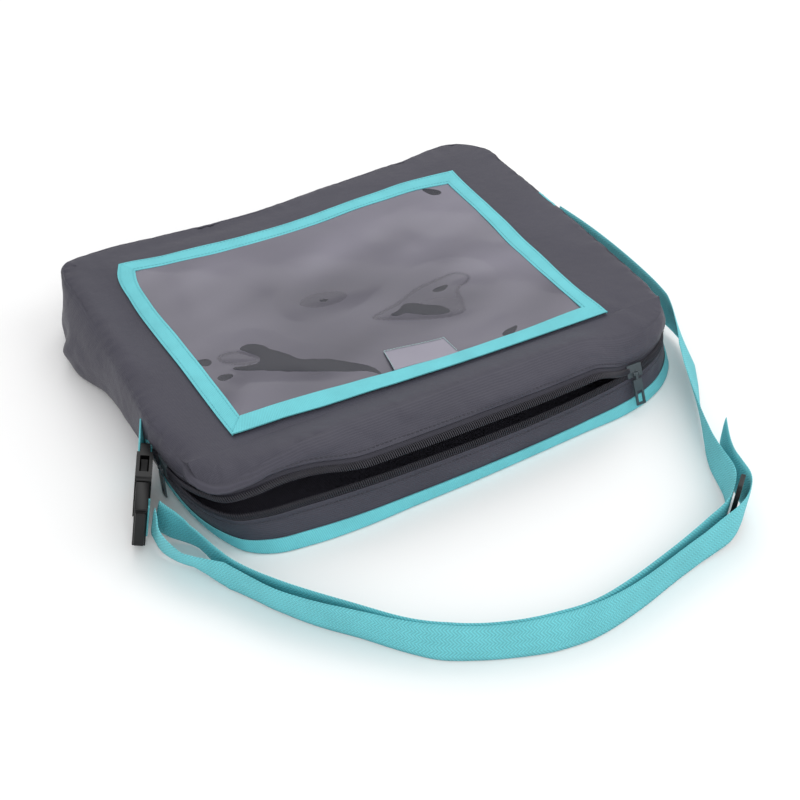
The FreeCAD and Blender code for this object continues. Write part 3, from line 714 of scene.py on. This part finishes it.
def coil(name, path, out, rise, ride):
    """A flattened nylon helix along a path of points, with the directions out and up across it."""
    step = np.linalg.norm(np.diff(path, axis=0), axis=1)
    length = np.concatenate([[0], np.cumsum(step)])
    pitch, per_turn, ring = 1.4, 9, 5
    count = int(length[-1] / pitch * per_turn)
    s = np.linspace(0, length[-1], count)
    centre = np.stack([np.interp(s, length, path[:, k]) for k in range(3)], -1)
    o = np.stack([np.interp(s, length, out[:, k]) for k in range(3)], -1)
    r = np.stack([np.interp(s, length, rise[:, k]) for k in range(3)], -1)
    angle = s / pitch * 2 * math.pi
    flat = np.sign(np.cos(angle)) * abs(np.cos(angle)) ** 0.7
    line = centre + r * (1.85 * flat)[:, None] + o * (0.95 * np.sin(angle))[:, None]
    ahead = np.gradient(line, axis=0)
    ahead /= np.linalg.norm(ahead, axis=1, keepdims=True)
    side = np.cross(ahead, o)
    side /= np.linalg.norm(side, axis=1, keepdims=True)
    over = np.cross(side, ahead)
    turns = np.arange(ring) * 2 * math.pi / ring
    round_side = np.cos(turns)[None, :, None] * side[:, None]
    round_over = np.sin(turns)[None, :, None] * over[:, None]
    tube = line[:, None] + 0.40 * (round_side + round_over)
    faces = grid_faces(count, ring, wrap=True)
    ends = np.array([list(range(ring))[::-1]]), np.array([list(range((count - 1) * ring, count * ring))])
    piece = link(name, tube.reshape(-1, 3) * MM, [*faces.tolist(), *ends[0].tolist(), *ends[1].tolist()], COIL)
    ride(piece)
    return piece


def upper_height(t):
    return UPPER_COIL + open_gap(t)


def stitches(name, path, normal, material, ride, pitch=3.0, long=2.0, thick=0.42):
    """A row of short raised threads along a path."""
    step = np.linalg.norm(np.diff(path, axis=0), axis=1)
    length = np.concatenate([[0], np.cumsum(step)])
    count = int(length[-1] / pitch)
    vertices, faces = [], []
    profile = [(-0.5, 0.0), (-0.42, 0.75), (-0.2, 1.0), (0.2, 1.0), (0.42, 0.75), (0.5, 0.0)]
    for k in range(count):
        s = (k + 0.5) * pitch
        here = np.array([np.interp(s, length, path[:, a]) for a in range(3)])
        ahead = np.array([np.interp(s + 0.5, length, path[:, a]) for a in range(3)]) - here
        ahead /= np.linalg.norm(ahead) + 1e-9
        up = np.array([np.interp(s, length, normal[:, a]) for a in range(3)])
        up /= np.linalg.norm(up)
        side = np.cross(up, ahead)
        first = len(vertices)
        for along, rise in profile:
            middle = here + ahead * along * long + up * (rise * thick * 0.7 - 0.1)
            for turn in range(5):
                angle = turn * 2 * math.pi / 5
                radius = thick * 0.5
                vertices.append(middle + side * math.cos(angle) * radius + up * math.sin(angle) * radius)
        faces += (grid_faces(len(profile), 5, wrap=True) + first).tolist()
        faces.append([first + a for a in range(4, -1, -1)])
        faces.append([first + (len(profile) - 1) * 5 + a for a in range(5)])
    piece = link(name, np.array(vertices) * MM, faces, material)
    ride(piece)
    return piece


def on_case(piece):
    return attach(piece, "case")


def strip(t, low, high, rows, push, lift=False):
    """A strip of the front wall between two heights, given as functions or numbers."""
    shares = np.linspace(0, 1, rows)
    tt, ss = np.meshgrid(t, shares)
    low_h = low(tt) if callable(low) else np.full_like(tt, low)
    high_h = high(tt) if callable(high) else np.full_like(tt, high)
    hh = low_h + (high_h - low_h) * ss
    points = wall_at(tt, hh) + outward(tt) * push(tt, ss, hh)[..., None]
    return (lifted(points) if lift else points), tt, hh


T_FOLD_LEFT = find_t(y=FOLD_Y, low=0, high=KNOTS[4])
T_FOLD_RIGHT = find_t(y=FOLD_Y, low=KNOTS[13], high=T_RIGHT_SEAM)


def upper_push(t, share, height):
    """Shape of the upper gusset from its hem to the rim: a slack roll, puckers and the seam's pinch."""
    rim = closed_curve(RIM_HEIGHT, t)[..., 0]
    where = np.stack([t, height * 2.0], -1)
    crease = ripple(where, 22.0, 21) * 1.5 + ripple(where, 9.0, 22) * 0.5
    slack = 1.6 + 0.25 * open_gap(t)
    roll = (slack + crease) * np.sin(np.pi * np.clip(share, 0, 1)) ** 0.8
    pinch = -1.3 * np.exp(-(rim - height) / 1.3)
    gather = pucker(t) * 0.7 * np.exp(-(rim - height) / 6) * (1 - np.exp(-(rim - height) / 0.8))
    hem = 0.45 * np.exp(-((height - upper_height(t) - 5.4) / 0.8) ** 2)
    return roll + pinch + gather + hem


def tape_push(t, share, height):
    """The zip tape's slight belly, set back behind the wall."""
    return -1.1 + 0.3 * np.sin(np.pi * share)


def rim_height(t):
    return closed_curve(RIM_HEIGHT, t)[..., 0] - 0.3


def make_upper_front():
    """Upper gusset, its tape and its coil: still at the two ends, and lifting in the lip's two halves."""
    stretches = [
        ("left", "end", spaced(-0.6, T_FOLD_LEFT, 2.2)),
        ("left", "lip", spaced(T_FOLD_LEFT, T_CENTRE, 2.2)),
        ("right", "lip", spaced(T_CENTRE, T_FOLD_RIGHT, 2.2)),
        ("right", "end", spaced(T_FOLD_RIGHT, T_RIGHT_SEAM + 0.6, 2.2)),
    ]
    stood = {
        ("left", "end"): "left",
        ("right", "end"): "right",
        ("left", "lip"): "lip",
    }
    for side, kind, t in stretches:
        lip = kind == "lip"
        ride = (lambda piece, side=side: ride_lip(piece)) if lip else on_case
        points, tt, hh = strip(t, lambda a: upper_height(a) + 4.6, rim_height, 18, upper_push, lip)
        skin = grid("upper_gusset_skin_%s_%s" % (side, kind), points, FABRIC, np.stack([tt, hh], -1), 1.0)
        points, tt, hh = strip(t, lambda a: upper_height(a) + 0.6, lambda a: upper_height(a) + 6.5, 5, tape_push, lip)
        tape = grid("upper_tape_%s_%s" % (side, kind), points, ZIP_TAPE, np.stack([tt, hh], -1), 0.6)
        for piece, slot in ((skin, "grey_fabric"), (tape, "zip_tape")):
            ride(piece)
        fine = spaced(t[0], t[-1], 0.8)
        path = wall_at(fine, upper_height(fine))
        upward = wall_at(fine, upper_height(fine) + 1) - path
        out = outward(fine)
        tips = [path, path + out, path + upward]
        if lip:
            tips = [lifted(p) for p in tips]
        coil_piece = coil("upper_coil_%s_%s" % (side, kind), tips[0], tips[1] - tips[0], tips[2] - tips[0], ride)
        row = wall_at(fine, upper_height(fine) + 7.0)
        push = upper_push(fine, np.full_like(fine, 7.0 / 22), upper_height(fine) + 7.0)
        row = row + out * (push + 0.05)[:, None]
        outer = row + out
        if lip:
            row, outer = lifted(row), lifted(outer)
        stitches("upper_stitches_%s_%s" % (side, kind), row, outer - row, THREAD, ride)
        node = stood.get((side, kind))
        if node:
            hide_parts("upper_gusset_" + node)
            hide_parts("upper_zip_tape_" + node)
            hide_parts("upper_zip_teeth_" + node)


def make_lower_zip():
    t = spaced(-0.6, T_RIGHT_SEAM + 0.6, 2.2)
    points, tt, hh = strip(t, LOWER_TAPE_LOW, LOWER_TAPE_HIGH, 5, tape_push)
    tape = grid("lower_tape", points, ZIP_TAPE, np.stack([tt, hh], -1), 0.6)
    on_case(tape)
    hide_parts("lower_zip_tape")
    fine = spaced(t[0], t[-1], 0.8)
    path = wall_at(fine, np.full_like(fine, LOWER_COIL))
    upward = wall_at(fine, np.full_like(fine, LOWER_COIL + 1)) - path
    teeth = coil("lower_coil", path, outward(fine), upward, on_case)
    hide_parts("lower_zip_teeth")
    row = wall_at(fine, np.full_like(fine, LOWER_STITCH)) + outward(fine) * 0.2
    stitches("lower_stitches", row, outward(fine), THREAD, on_case)


make_upper_front()
make_lower_zip()

# ---------------------------------------------------------------- base


def make_base():
    plan, faces = panel_mesh(FOOT, [1.2, 4.0, 9.0], 9.0, [])
    shape = np.concatenate([plan, np.full((len(plan), 1), 5.0)], 1)
    shape[:, 2] += ripple(plan, 40.0, 31) * 0.8
    piece = link("base_cover", shape * MM, faces, LINING, plan)
    thicken(piece, 3.8)
    on_case(piece)
    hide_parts("bottom_panel", "bottom_padding", "bottom_lining")


make_base()

# ---------------------------------------------------------------- window


def between(outer, inner, steps, across):
    """Plan grid between two edges, each a list of plan points."""
    def spread(edge):
        edge = np.array(edge, float)
        length = np.concatenate([[0], np.cumsum(np.linalg.norm(np.diff(edge, axis=0), axis=1))])
        share = length / length[-1]
        at = np.linspace(0, 1, steps)
        if len(edge) == 2:
            return np.stack([np.interp(at, share, edge[:, k]) for k in range(2)], -1)
        slopes = np.gradient(edge, share, axis=0)
        i = np.clip(np.searchsorted(share, at, side="right") - 1, 0, len(edge) - 2)
        h = (share[i + 1] - share[i])[:, None]
        x = ((at - share[i])[:, None]) / h
        return (edge[i] * (2 * x**3 - 3 * x**2 + 1) + slopes[i] * h * (x**3 - 2 * x**2 + x)
                + edge[i + 1] * (3 * x**2 - 2 * x**3) + slopes[i + 1] * h * (x**3 - x**2))
    a, b = spread(outer), spread(inner)
    s = np.linspace(0, 1, across)[:, None, None]
    return a[None] * (1 - s) + b[None] * s


WINDOW_TAPES = {
    # node: (outer edge, inner edge, lift above the panel)
    "left": ([(-142, -87), (-145, -30), (-148, 30), (-149, 75), (-147, 106), (-142, 118)],
             [(-131, -74), (-133, -30), (-135.5, 20), (-138, 64), (-137, 94), (-134.5, 104)], 1.5),
    "back": ([(-142, 118), (-100, 112.5), (-60, 110), (0, 113), (52, 117.5), (100, 119.5), (135, 118)],
             [(-134.5, 104), (-100, 99.5), (-60, 97.5), (0, 101), (45, 105), (90, 105.5), (122, 103)], 1.6),
    "right": ([(135, 118), (132, 50), (130.5, -20), (128.5, -70), (131, -95)],
              [(122, 103), (119.5, 40), (118, -20), (117, -60), (117.5, -84)], 1.9),
    "front": ([(-142, -87), (-80, -90.5), (-30, -92), (20, -94), (71, -94.5), (131, -94.6)],
              [(-131, -74), (-72, -78.5), (-29, -81.5), (20, -84), (70, -84.5), (117.5, -84)], 1.6),
}


def make_window():
    for side, (outer, inner, lift) in WINDOW_TAPES.items():
        length = math.dist(outer[0], outer[-1])
        plan = between(outer, inner, int(length / 2.4), 8)
        points = top_points(plan)
        across = np.linspace(0, 1, 8)[:, None]
        points[..., 2] += lift + 0.5 * np.sin(np.pi * across) ** 0.6
        columns = plan.shape[1]
        along = np.linspace(0, length, columns)[None].repeat(8, 0)
        edge = np.stack([along, across.repeat(columns, 1) * 12], -1)
        piece = grid("window_binding_" + side, points, TAPE, edge, 1.1, flip=True)
        on_case(piece)
        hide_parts("window_tape_" + side)
        for share in (0.16, 0.84):
            row = points[int(round(share * 7))]
            up = np.tile([0.0, 0.0, 1.0], (len(row), 1))
            stitches("window_stitches_%s_%d" % (side, share * 100), row + up * 0.05, up, TEAL_THREAD, on_case,
                     pitch=2.6, long=1.8, thick=0.34)


# Where the film clings to the fabric, and where it is about to: outlines in the plan, in millimetres.
ISLANDS = [
    [(-106, -10), (-99, -8), (-91, -11), (-87, -21), (-81, -29), (-74, -40), (-57, -48), (-47, -58), (-37, -68),
     (-35, -77), (-34, -83), (-40, -73), (-57, -64), (-80, -52), (-97, -42), (-116, -31), (-117, -26), (-105, -31),
     (-99, -31), (-96, -26), (-100, -18)],
    [(-137, -11), (-131, -10), (-126, -12), (-126, -18), (-132, -19)],
    [(-130, -32), (-123, -31), (-118, -34), (-122, -38), (-128, -38)],
    [(-36, 12), (-31, 12), (-28, 10), (-31, 7), (-35, 9)],
    [(-1, -25), (7, -24), (15, -18), (22, -21), (27, -26), (36, -32), (40, -41), (35, -43), (21, -37), (12, -28),
     (4, -29)],
    [(39, -15), (47, -13), (53, -15), (48, -19), (40, -18)],
    [(54, -80), (62, -77), (71, -76), (65, -82), (57, -84)],
    [(98, 106), (107, 103), (112, 95), (108, 91), (101, 94)],
]
HALOES = [
    [(-50, 13), (-41, 18), (-30, 18), (-18, 13), (-16, 8), (-25, 3), (-38, 5)],
    [(-15, -24), (-5, -21), (13, -16), (29, -8), (51, -6), (64, -5), (71, -13), (65, -20), (54, -22), (51, -36),
     (45, -50), (16, -39)],
    [(-121, -13), (-114, -11), (-105, -14), (-99, -22), (-97, -28), (-102, -30), (-112, -26), (-120, -19)],
]


def loop_distance(plan, corners):
    """Signed distance of plan points from a smooth closed loop, positive inside."""
    corners = np.array(corners, float)
    for _ in range(2):
        after = np.roll(corners, -1, 0)
        corners = np.stack([corners * 0.75 + after * 0.25, corners * 0.25 + after * 0.75], 1).reshape(-1, 2)
    flat = plan.reshape(-1, 2)
    start, step = corners, np.roll(corners, -1, 0) - corners
    best = np.full(len(flat), 1e9)
    for s, d in zip(start, step):
        share = np.clip(((flat - s) @ d) / (d @ d), 0, 1)
        best = np.minimum(best, np.linalg.norm(flat - s - share[:, None] * d, axis=1))
    sign = np.where(inside_loop(flat, corners), 1.0, -1.0)
    return (best * sign).reshape(plan.shape[:-1])


def paint(piece, **values):
    """Stores each value, or list of values, on the mesh's points for the material to read."""
    for word, value in values.items():
        numbers = np.broadcast_to(np.ravel(value), len(piece.data.vertices)).astype(np.float32)
        piece.data.attributes.new(word, "FLOAT", "POINT").data.foreach_set("value", np.ascontiguousarray(numbers))


def make_film():
    corners = [(-137, -80), (123, -89.5), (129, 112), (-143, 108)]
    plan = between([corners[0], corners[1]], [corners[3], corners[2]], 190, 140)
    points = top_points(plan)
    x, y = plan[..., 0], plan[..., 1]
    inside = np.max([loop_distance(plan, island) for island in ISLANDS], axis=0) + ripple(plan, 7.0, 41) * 0.5
    cling = np.clip(0.5 + inside / 8, 0, 1)
    halo = np.max([loop_distance(plan, loop) for loop in HALOES], axis=0)
    across = np.minimum(np.minimum(x + 138, 130 - x), np.minimum(y + 80, 112 - y))
    puff = smoothstep(across / 30)
    waves = ripple(np.stack([x * 0.55 + y * 0.35, y * 0.9 - x * 0.25], -1), 46.0, 43)
    near = np.clip(1 + np.maximum(inside, halo * 0.5 - 4) / 14, 0, 1)
    gap = 0.9 + puff * (1.6 + waves * 1.1) * (1 - near)
    points[..., 2] += np.clip(gap, 0.35, None)
    piece = grid("window_film", points, VINYL, plan, 0.35)
    streak = ripple(np.stack([x * 0.35 + y * 0.2, y * 0.9 - x * 0.35], -1), 26.0, 44)
    # painted reflection: the film is painted lighter toward the back and the right and along its waves and streaks,
    # darker round the middle and in and along the haloes
    haze = 0.20 + 0.30 * smoothstep((y + 60) / 150) + 0.22 * smoothstep((x - 10) / 90) + 0.16 * waves + 0.12 * streak
    haze = haze - 0.16 * bump_at(x, 10, 60) * bump_at(y, -5, 32) - 0.30 * bump_at(halo, 0, 1.1)
    haze = np.clip(haze - 0.10 * smoothstep(halo / 2 + 0.5), 0, 1)
    paint(piece, cling=cling, haze=haze)
    on_case(piece)
    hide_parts("window_sheet")


make_window()
make_film()


def make_patch():
    corners = [(-27, -81), (19, -84), (18.5, -66), (-24, -61)]
    plan = between([corners[0], corners[1]], [corners[3], corners[2]], 24, 10)
    points = top_points(plan)
    points[..., 2] += 2.6
    piece = grid("clear_patch_film", points, VINYL, plan, 0.3)
    # the small patch film is painted with the full painted reflection
    paint(piece, cling=0.0, haze=1.0)
    on_case(piece)
    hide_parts("clear_patch")
    path = np.concatenate([points[:, 0], points[-1, 1:], points[::-1, -1][1:]])
    up = np.tile([0.0, 0.0, 1.0], (len(path), 1))
    stitches("patch_stitches", path + up * 0.3, up, PALE_THREAD, on_case, pitch=2.2, long=1.6, thick=0.5)


make_patch()

# ---------------------------------------------------------------- strap

# Corners of the strap's route, as in the CAD source, in metres.
LONG_RUN = [
    (0.1829, 0.0400, 0.0370), (0.1900, 0.0220, 0.0330), (0.1980, -0.0030, 0.0270), (0.2040, -0.0320, 0.0210),
    (0.2050, -0.0620, 0.0180), (0.2000, -0.0900, 0.0165), (0.1888, -0.1160, 0.0150), (0.1785, -0.1335, 0.0140),
    (0.1670, -0.1525, 0.0132), (0.1546, -0.1738, 0.0128), (0.1440, -0.1925, 0.0126), (0.1363, -0.2078, 0.0128),
    (0.1310, -0.2220, 0.0146), (0.1246, -0.2388, 0.0176), (0.1154, -0.2496, 0.0182), (0.1026, -0.2592, 0.0166),
    (0.0816, -0.2634, 0.0136), (0.0585, -0.2690, 0.0126), (0.0221, -0.2773, 0.0126), (-0.0083, -0.2827, 0.0126),
    (-0.0322, -0.2795, 0.0126), (-0.0537, -0.2734, 0.0126), (-0.0742, -0.2650, 0.0126),
    (-0.0928, -0.2544, 0.0126), (-0.1089, -0.2395, 0.0126), (-0.1239, -0.2199, 0.0126),
    (-0.1391, -0.2018, 0.0126), (-0.1546, -0.1819, 0.0126), (-0.1662, -0.1655, 0.0126),
    (-0.1729, -0.1543, 0.0126), (-0.1766, -0.1434, 0.0126), (-0.1789, -0.1330, 0.0126),
    (-0.1810, -0.1230, 0.0127), (-0.1843, -0.1136, 0.0132), (-0.1888, -0.1066, 0.0142),
    (-0.1934, -0.1006, 0.0156), (-0.1970, -0.0938, 0.0173),
]
RETURN_RUN = [
    (-0.2010, -0.0983, 0.0177), (-0.2014, -0.1044, 0.0168), (-0.2026, -0.1108, 0.0158),
    (-0.2014, -0.1176, 0.0148), (-0.1986, -0.1242, 0.0138), (-0.1948, -0.1308, 0.0130),
    (-0.1896, -0.1380, 0.0126), (-0.1843, -0.1460, 0.0126), (-0.1786, -0.1536, 0.0126),
    (-0.1754, -0.1590, 0.0126), (-0.1694, -0.1694, 0.0126), (-0.1605, -0.1856, 0.0126),
    (-0.1443, -0.2061, 0.0126), (-0.1272, -0.2229, 0.0126), (-0.1106, -0.2415, 0.0126),
    (-0.0940, -0.2561, 0.0126), (-0.0751, -0.2669, 0.0126), (-0.0545, -0.2754, 0.0126),
    (-0.0327, -0.2816, 0.0126), (-0.0082, -0.2849, 0.0126), (0.0230, -0.2817, 0.0126),
    (0.0598, -0.2733, 0.0126), (0.0844, -0.2692, 0.0136), (0.1099, -0.2654, 0.0168), (0.1288, -0.2512, 0.0174),
    (0.1352, -0.2328, 0.0154), (0.1404, -0.2200, 0.0136), (0.1476, -0.2076, 0.0128), (0.1560, -0.1956, 0.0126),
]
WEBBING_WIDE, WEBBING_THICK = 0.025, 0.0014
UPRIGHT, GLIDE_UP, BUCKLE_UP = (0.0, 0.0, 1.0), (0.25, 0.17, 0.953), (0.163, -0.069, 0.984)


def route(points):
    """Points along the smooth spline of a route."""
    curve = bpy.data.curves.new("route", "CURVE")
    curve.dimensions = "3D"
    curve.resolution_u = 10
    spline = curve.splines.new("NURBS")
    spline.points.add(len(points) - 1)
    for point, place in zip(spline.points, points):
        point.co = (*place, 1.0)
    spline.order_u = 3
    spline.use_endpoint_u = True
    carrier = bpy.data.objects.new("route", curve)
    bpy.context.scene.collection.objects.link(carrier)
    bpy.context.view_layer.update()
    mesh = bpy.data.meshes.new_from_object(carrier)
    line = np.array([tuple(v.co) for v in mesh.vertices])
    bpy.data.objects.remove(carrier)
    bpy.data.meshes.remove(mesh)
    bpy.data.curves.remove(curve)
    return line


def webbing(name, line, ups, material=WEBBING):
    """Flat webbing along a line, its width along the given directions."""
    share = np.linspace(0, 1, len(line))
    marks = np.linspace(0, 1, len(ups))
    up = np.stack([np.interp(share, marks, np.array(ups, float)[:, k]) for k in range(3)], -1)
    ahead = np.gradient(line, axis=0)
    ahead /= np.linalg.norm(ahead, axis=1, keepdims=True)
    up -= ahead * (up * ahead).sum(1, keepdims=True)
    up /= np.linalg.norm(up, axis=1, keepdims=True)
    side = np.cross(ahead, up)
    half, thick = WEBBING_WIDE / 2, WEBBING_THICK / 2
    rows = 9
    across = np.linspace(-1, 1, rows)
    bulge = np.clip(1 - abs(across) ** 6, 0.25, 1)
    ring = [(a, b) for a, b in zip(across, bulge)] + [(a, -b) for a, b in zip(across[::-1], bulge[::-1])]
    section = np.array(ring)
    wide, deep = section[None, :, :1] * half, section[None, :, 1:] * thick
    tube = line[:, None] + up[:, None] * wide + side[:, None] * deep
    length = np.concatenate([[0], np.cumsum(np.linalg.norm(np.diff(line, axis=0), axis=1))]) * 1000
    uv = np.stack(np.broadcast_arrays(length[:, None], section[None, :, 0] * 12.5), -1)
    count, ring_count = len(line), len(section)
    faces = grid_faces(count, ring_count, wrap=True).tolist()
    faces += [list(range(ring_count))[::-1], list(range((count - 1) * ring_count, count * ring_count))]
    piece = link(name, tube.reshape(-1, 3), faces, material, uv.reshape(-1, 2))
    return piece


def leaning(points, degrees, outside):
    """Width directions at a route's corners, each leaning out of the loop by its angle."""
    ups = []
    for k, angle in enumerate(degrees):
        ahead = np.array(points[min(k + 1, len(points) - 1)]) - np.array(points[max(k - 1, 0)])
        out = np.array([ahead[1], -ahead[0], 0.0]) * outside
        out /= np.linalg.norm(out)
        ups.append(np.array(UPRIGHT) * math.cos(math.radians(angle)) + out * math.sin(math.radians(angle)))
    return ups


LONG_LEAN = [0, 0, 0, 0, 0, -22, -35, -32, -24, -15, -6, 0, 0, 0, 0, 0, -3, -4, -6, -12, -14, -10, -9, -11, -3, 3,
             6, 9, 9, 7, 6, 8, 10, 12, 8, 4, 0]
RETURN_LEAN = [0, 4, 8, 12, 18, 25, 20, 12, 5, 7, 9, 10, 6, 3, -3, -11, -9, -10, -14, -12, -6, -3, 0, 0, 0, 0, 0,
               0, 0]


def turn_to(ups, target, first, shares):
    """Brings the width directions from one corner on nearer to a buckle's, each by its share."""
    for k, share in enumerate(shares, first):
        ups[k] = ups[k] * (1 - share) + np.array(target) * share


def make_strap():
    ups = leaning(LONG_RUN, LONG_LEAN, -1)
    turn_to(ups, GLIDE_UP, 12, (0.3, 0.8, 1.0, 0.8, 0.3))
    turn_to(ups, BUCKLE_UP, 34, (0.2, 0.6, 1.0))
    line = route(LONG_RUN)
    run = webbing("strap_run", line, ups)
    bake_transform(run)
    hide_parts("strap_long_run")
    ups = leaning(RETURN_RUN, RETURN_LEAN, 1)
    turn_to(ups, BUCKLE_UP, 0, (1.0, 0.6, 0.2))
    turn_to(ups, GLIDE_UP, 21, (0.1, 0.4, 1.0, 1.0, 0.5))
    line = route(RETURN_RUN)
    back = webbing("strap_return", line, ups)
    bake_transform(back)
    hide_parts("strap_return_run")


make_strap()

# ---------------------------------------------------------------- hardware


def dress(node, material, round_edges):
    """A CAD node keeps its shape; its edges are rounded a little and it gets its own material."""
    piece = NODES[node]
    piece.data.materials.clear()
    piece.data.materials.append(material)
    weld = piece.modifiers.new("weld", "WELD")
    weld.merge_threshold = 0.00001
    bevel = piece.modifiers.new("edges", "BEVEL")
    bevel.width, bevel.segments, bevel.limit_method = round_edges * MM, 3, "ANGLE"
    bevel.angle_limit = math.radians(35)
    bevel.harden_normals = True


for node in ("buckle_socket", "buckle_plug", "triglide"):
    dress(node, BLACK, 0.7)
for node in ("buckle_prong_left", "buckle_prong_right"):
    dress(node, BLACK, 0.4)
for node in ("right_slider_body", "left_slider_body"):
    dress(node, SLIDER, 0.45)
for node in ("right_slider_pull", "left_slider_pull"):
    dress(node, SLIDER, 0.35)
for node in ("strap_bar_turn", "strap_tab_left", "strap_end_right"):
    dress(node, WEBBING, 0.3)

# ---------------------------------------------------------------- floor and light


def make_stage():
    floor = link("floor", [(-4, -4, 0), (4, -4, 0), (4, 4, 0), (-4, 4, 0)], [(0, 1, 2, 3)],
                 Nodes("floor").finish(Base_Color=(0.95, 0.95, 0.95, 1), Roughness=0.95), smooth=False)
    floor.location.z = -0.0004
    world = bpy.data.worlds.new("studio")
    world.use_nodes = True
    world.node_tree.nodes["Background"].inputs[0].default_value = (1, 1, 1, 1)
    world.node_tree.nodes["Background"].inputs[1].default_value = 0.72
    bpy.context.scene.world = world
    for name, place, size, power in [
        ("key", (0.5, 1.1, 1.6), 1.4, 10), ("fill", (1.1, -0.6, 1.3), 1.2, 7), ("front", (-0.6, -1.4, 1.2), 1.2, 8),
    ]:
        data = bpy.data.lights.new(name, "AREA")
        data.size, data.energy = size, power
        lamp = bpy.data.objects.new(name, data)
        lamp.location = place
        lamp.rotation_euler = (-Vector(place)).to_track_quat("-Z", "Y").to_euler()
        bpy.context.scene.collection.objects.link(lamp)
    bpy.context.scene.view_settings.view_transform = "Standard"


make_stage()
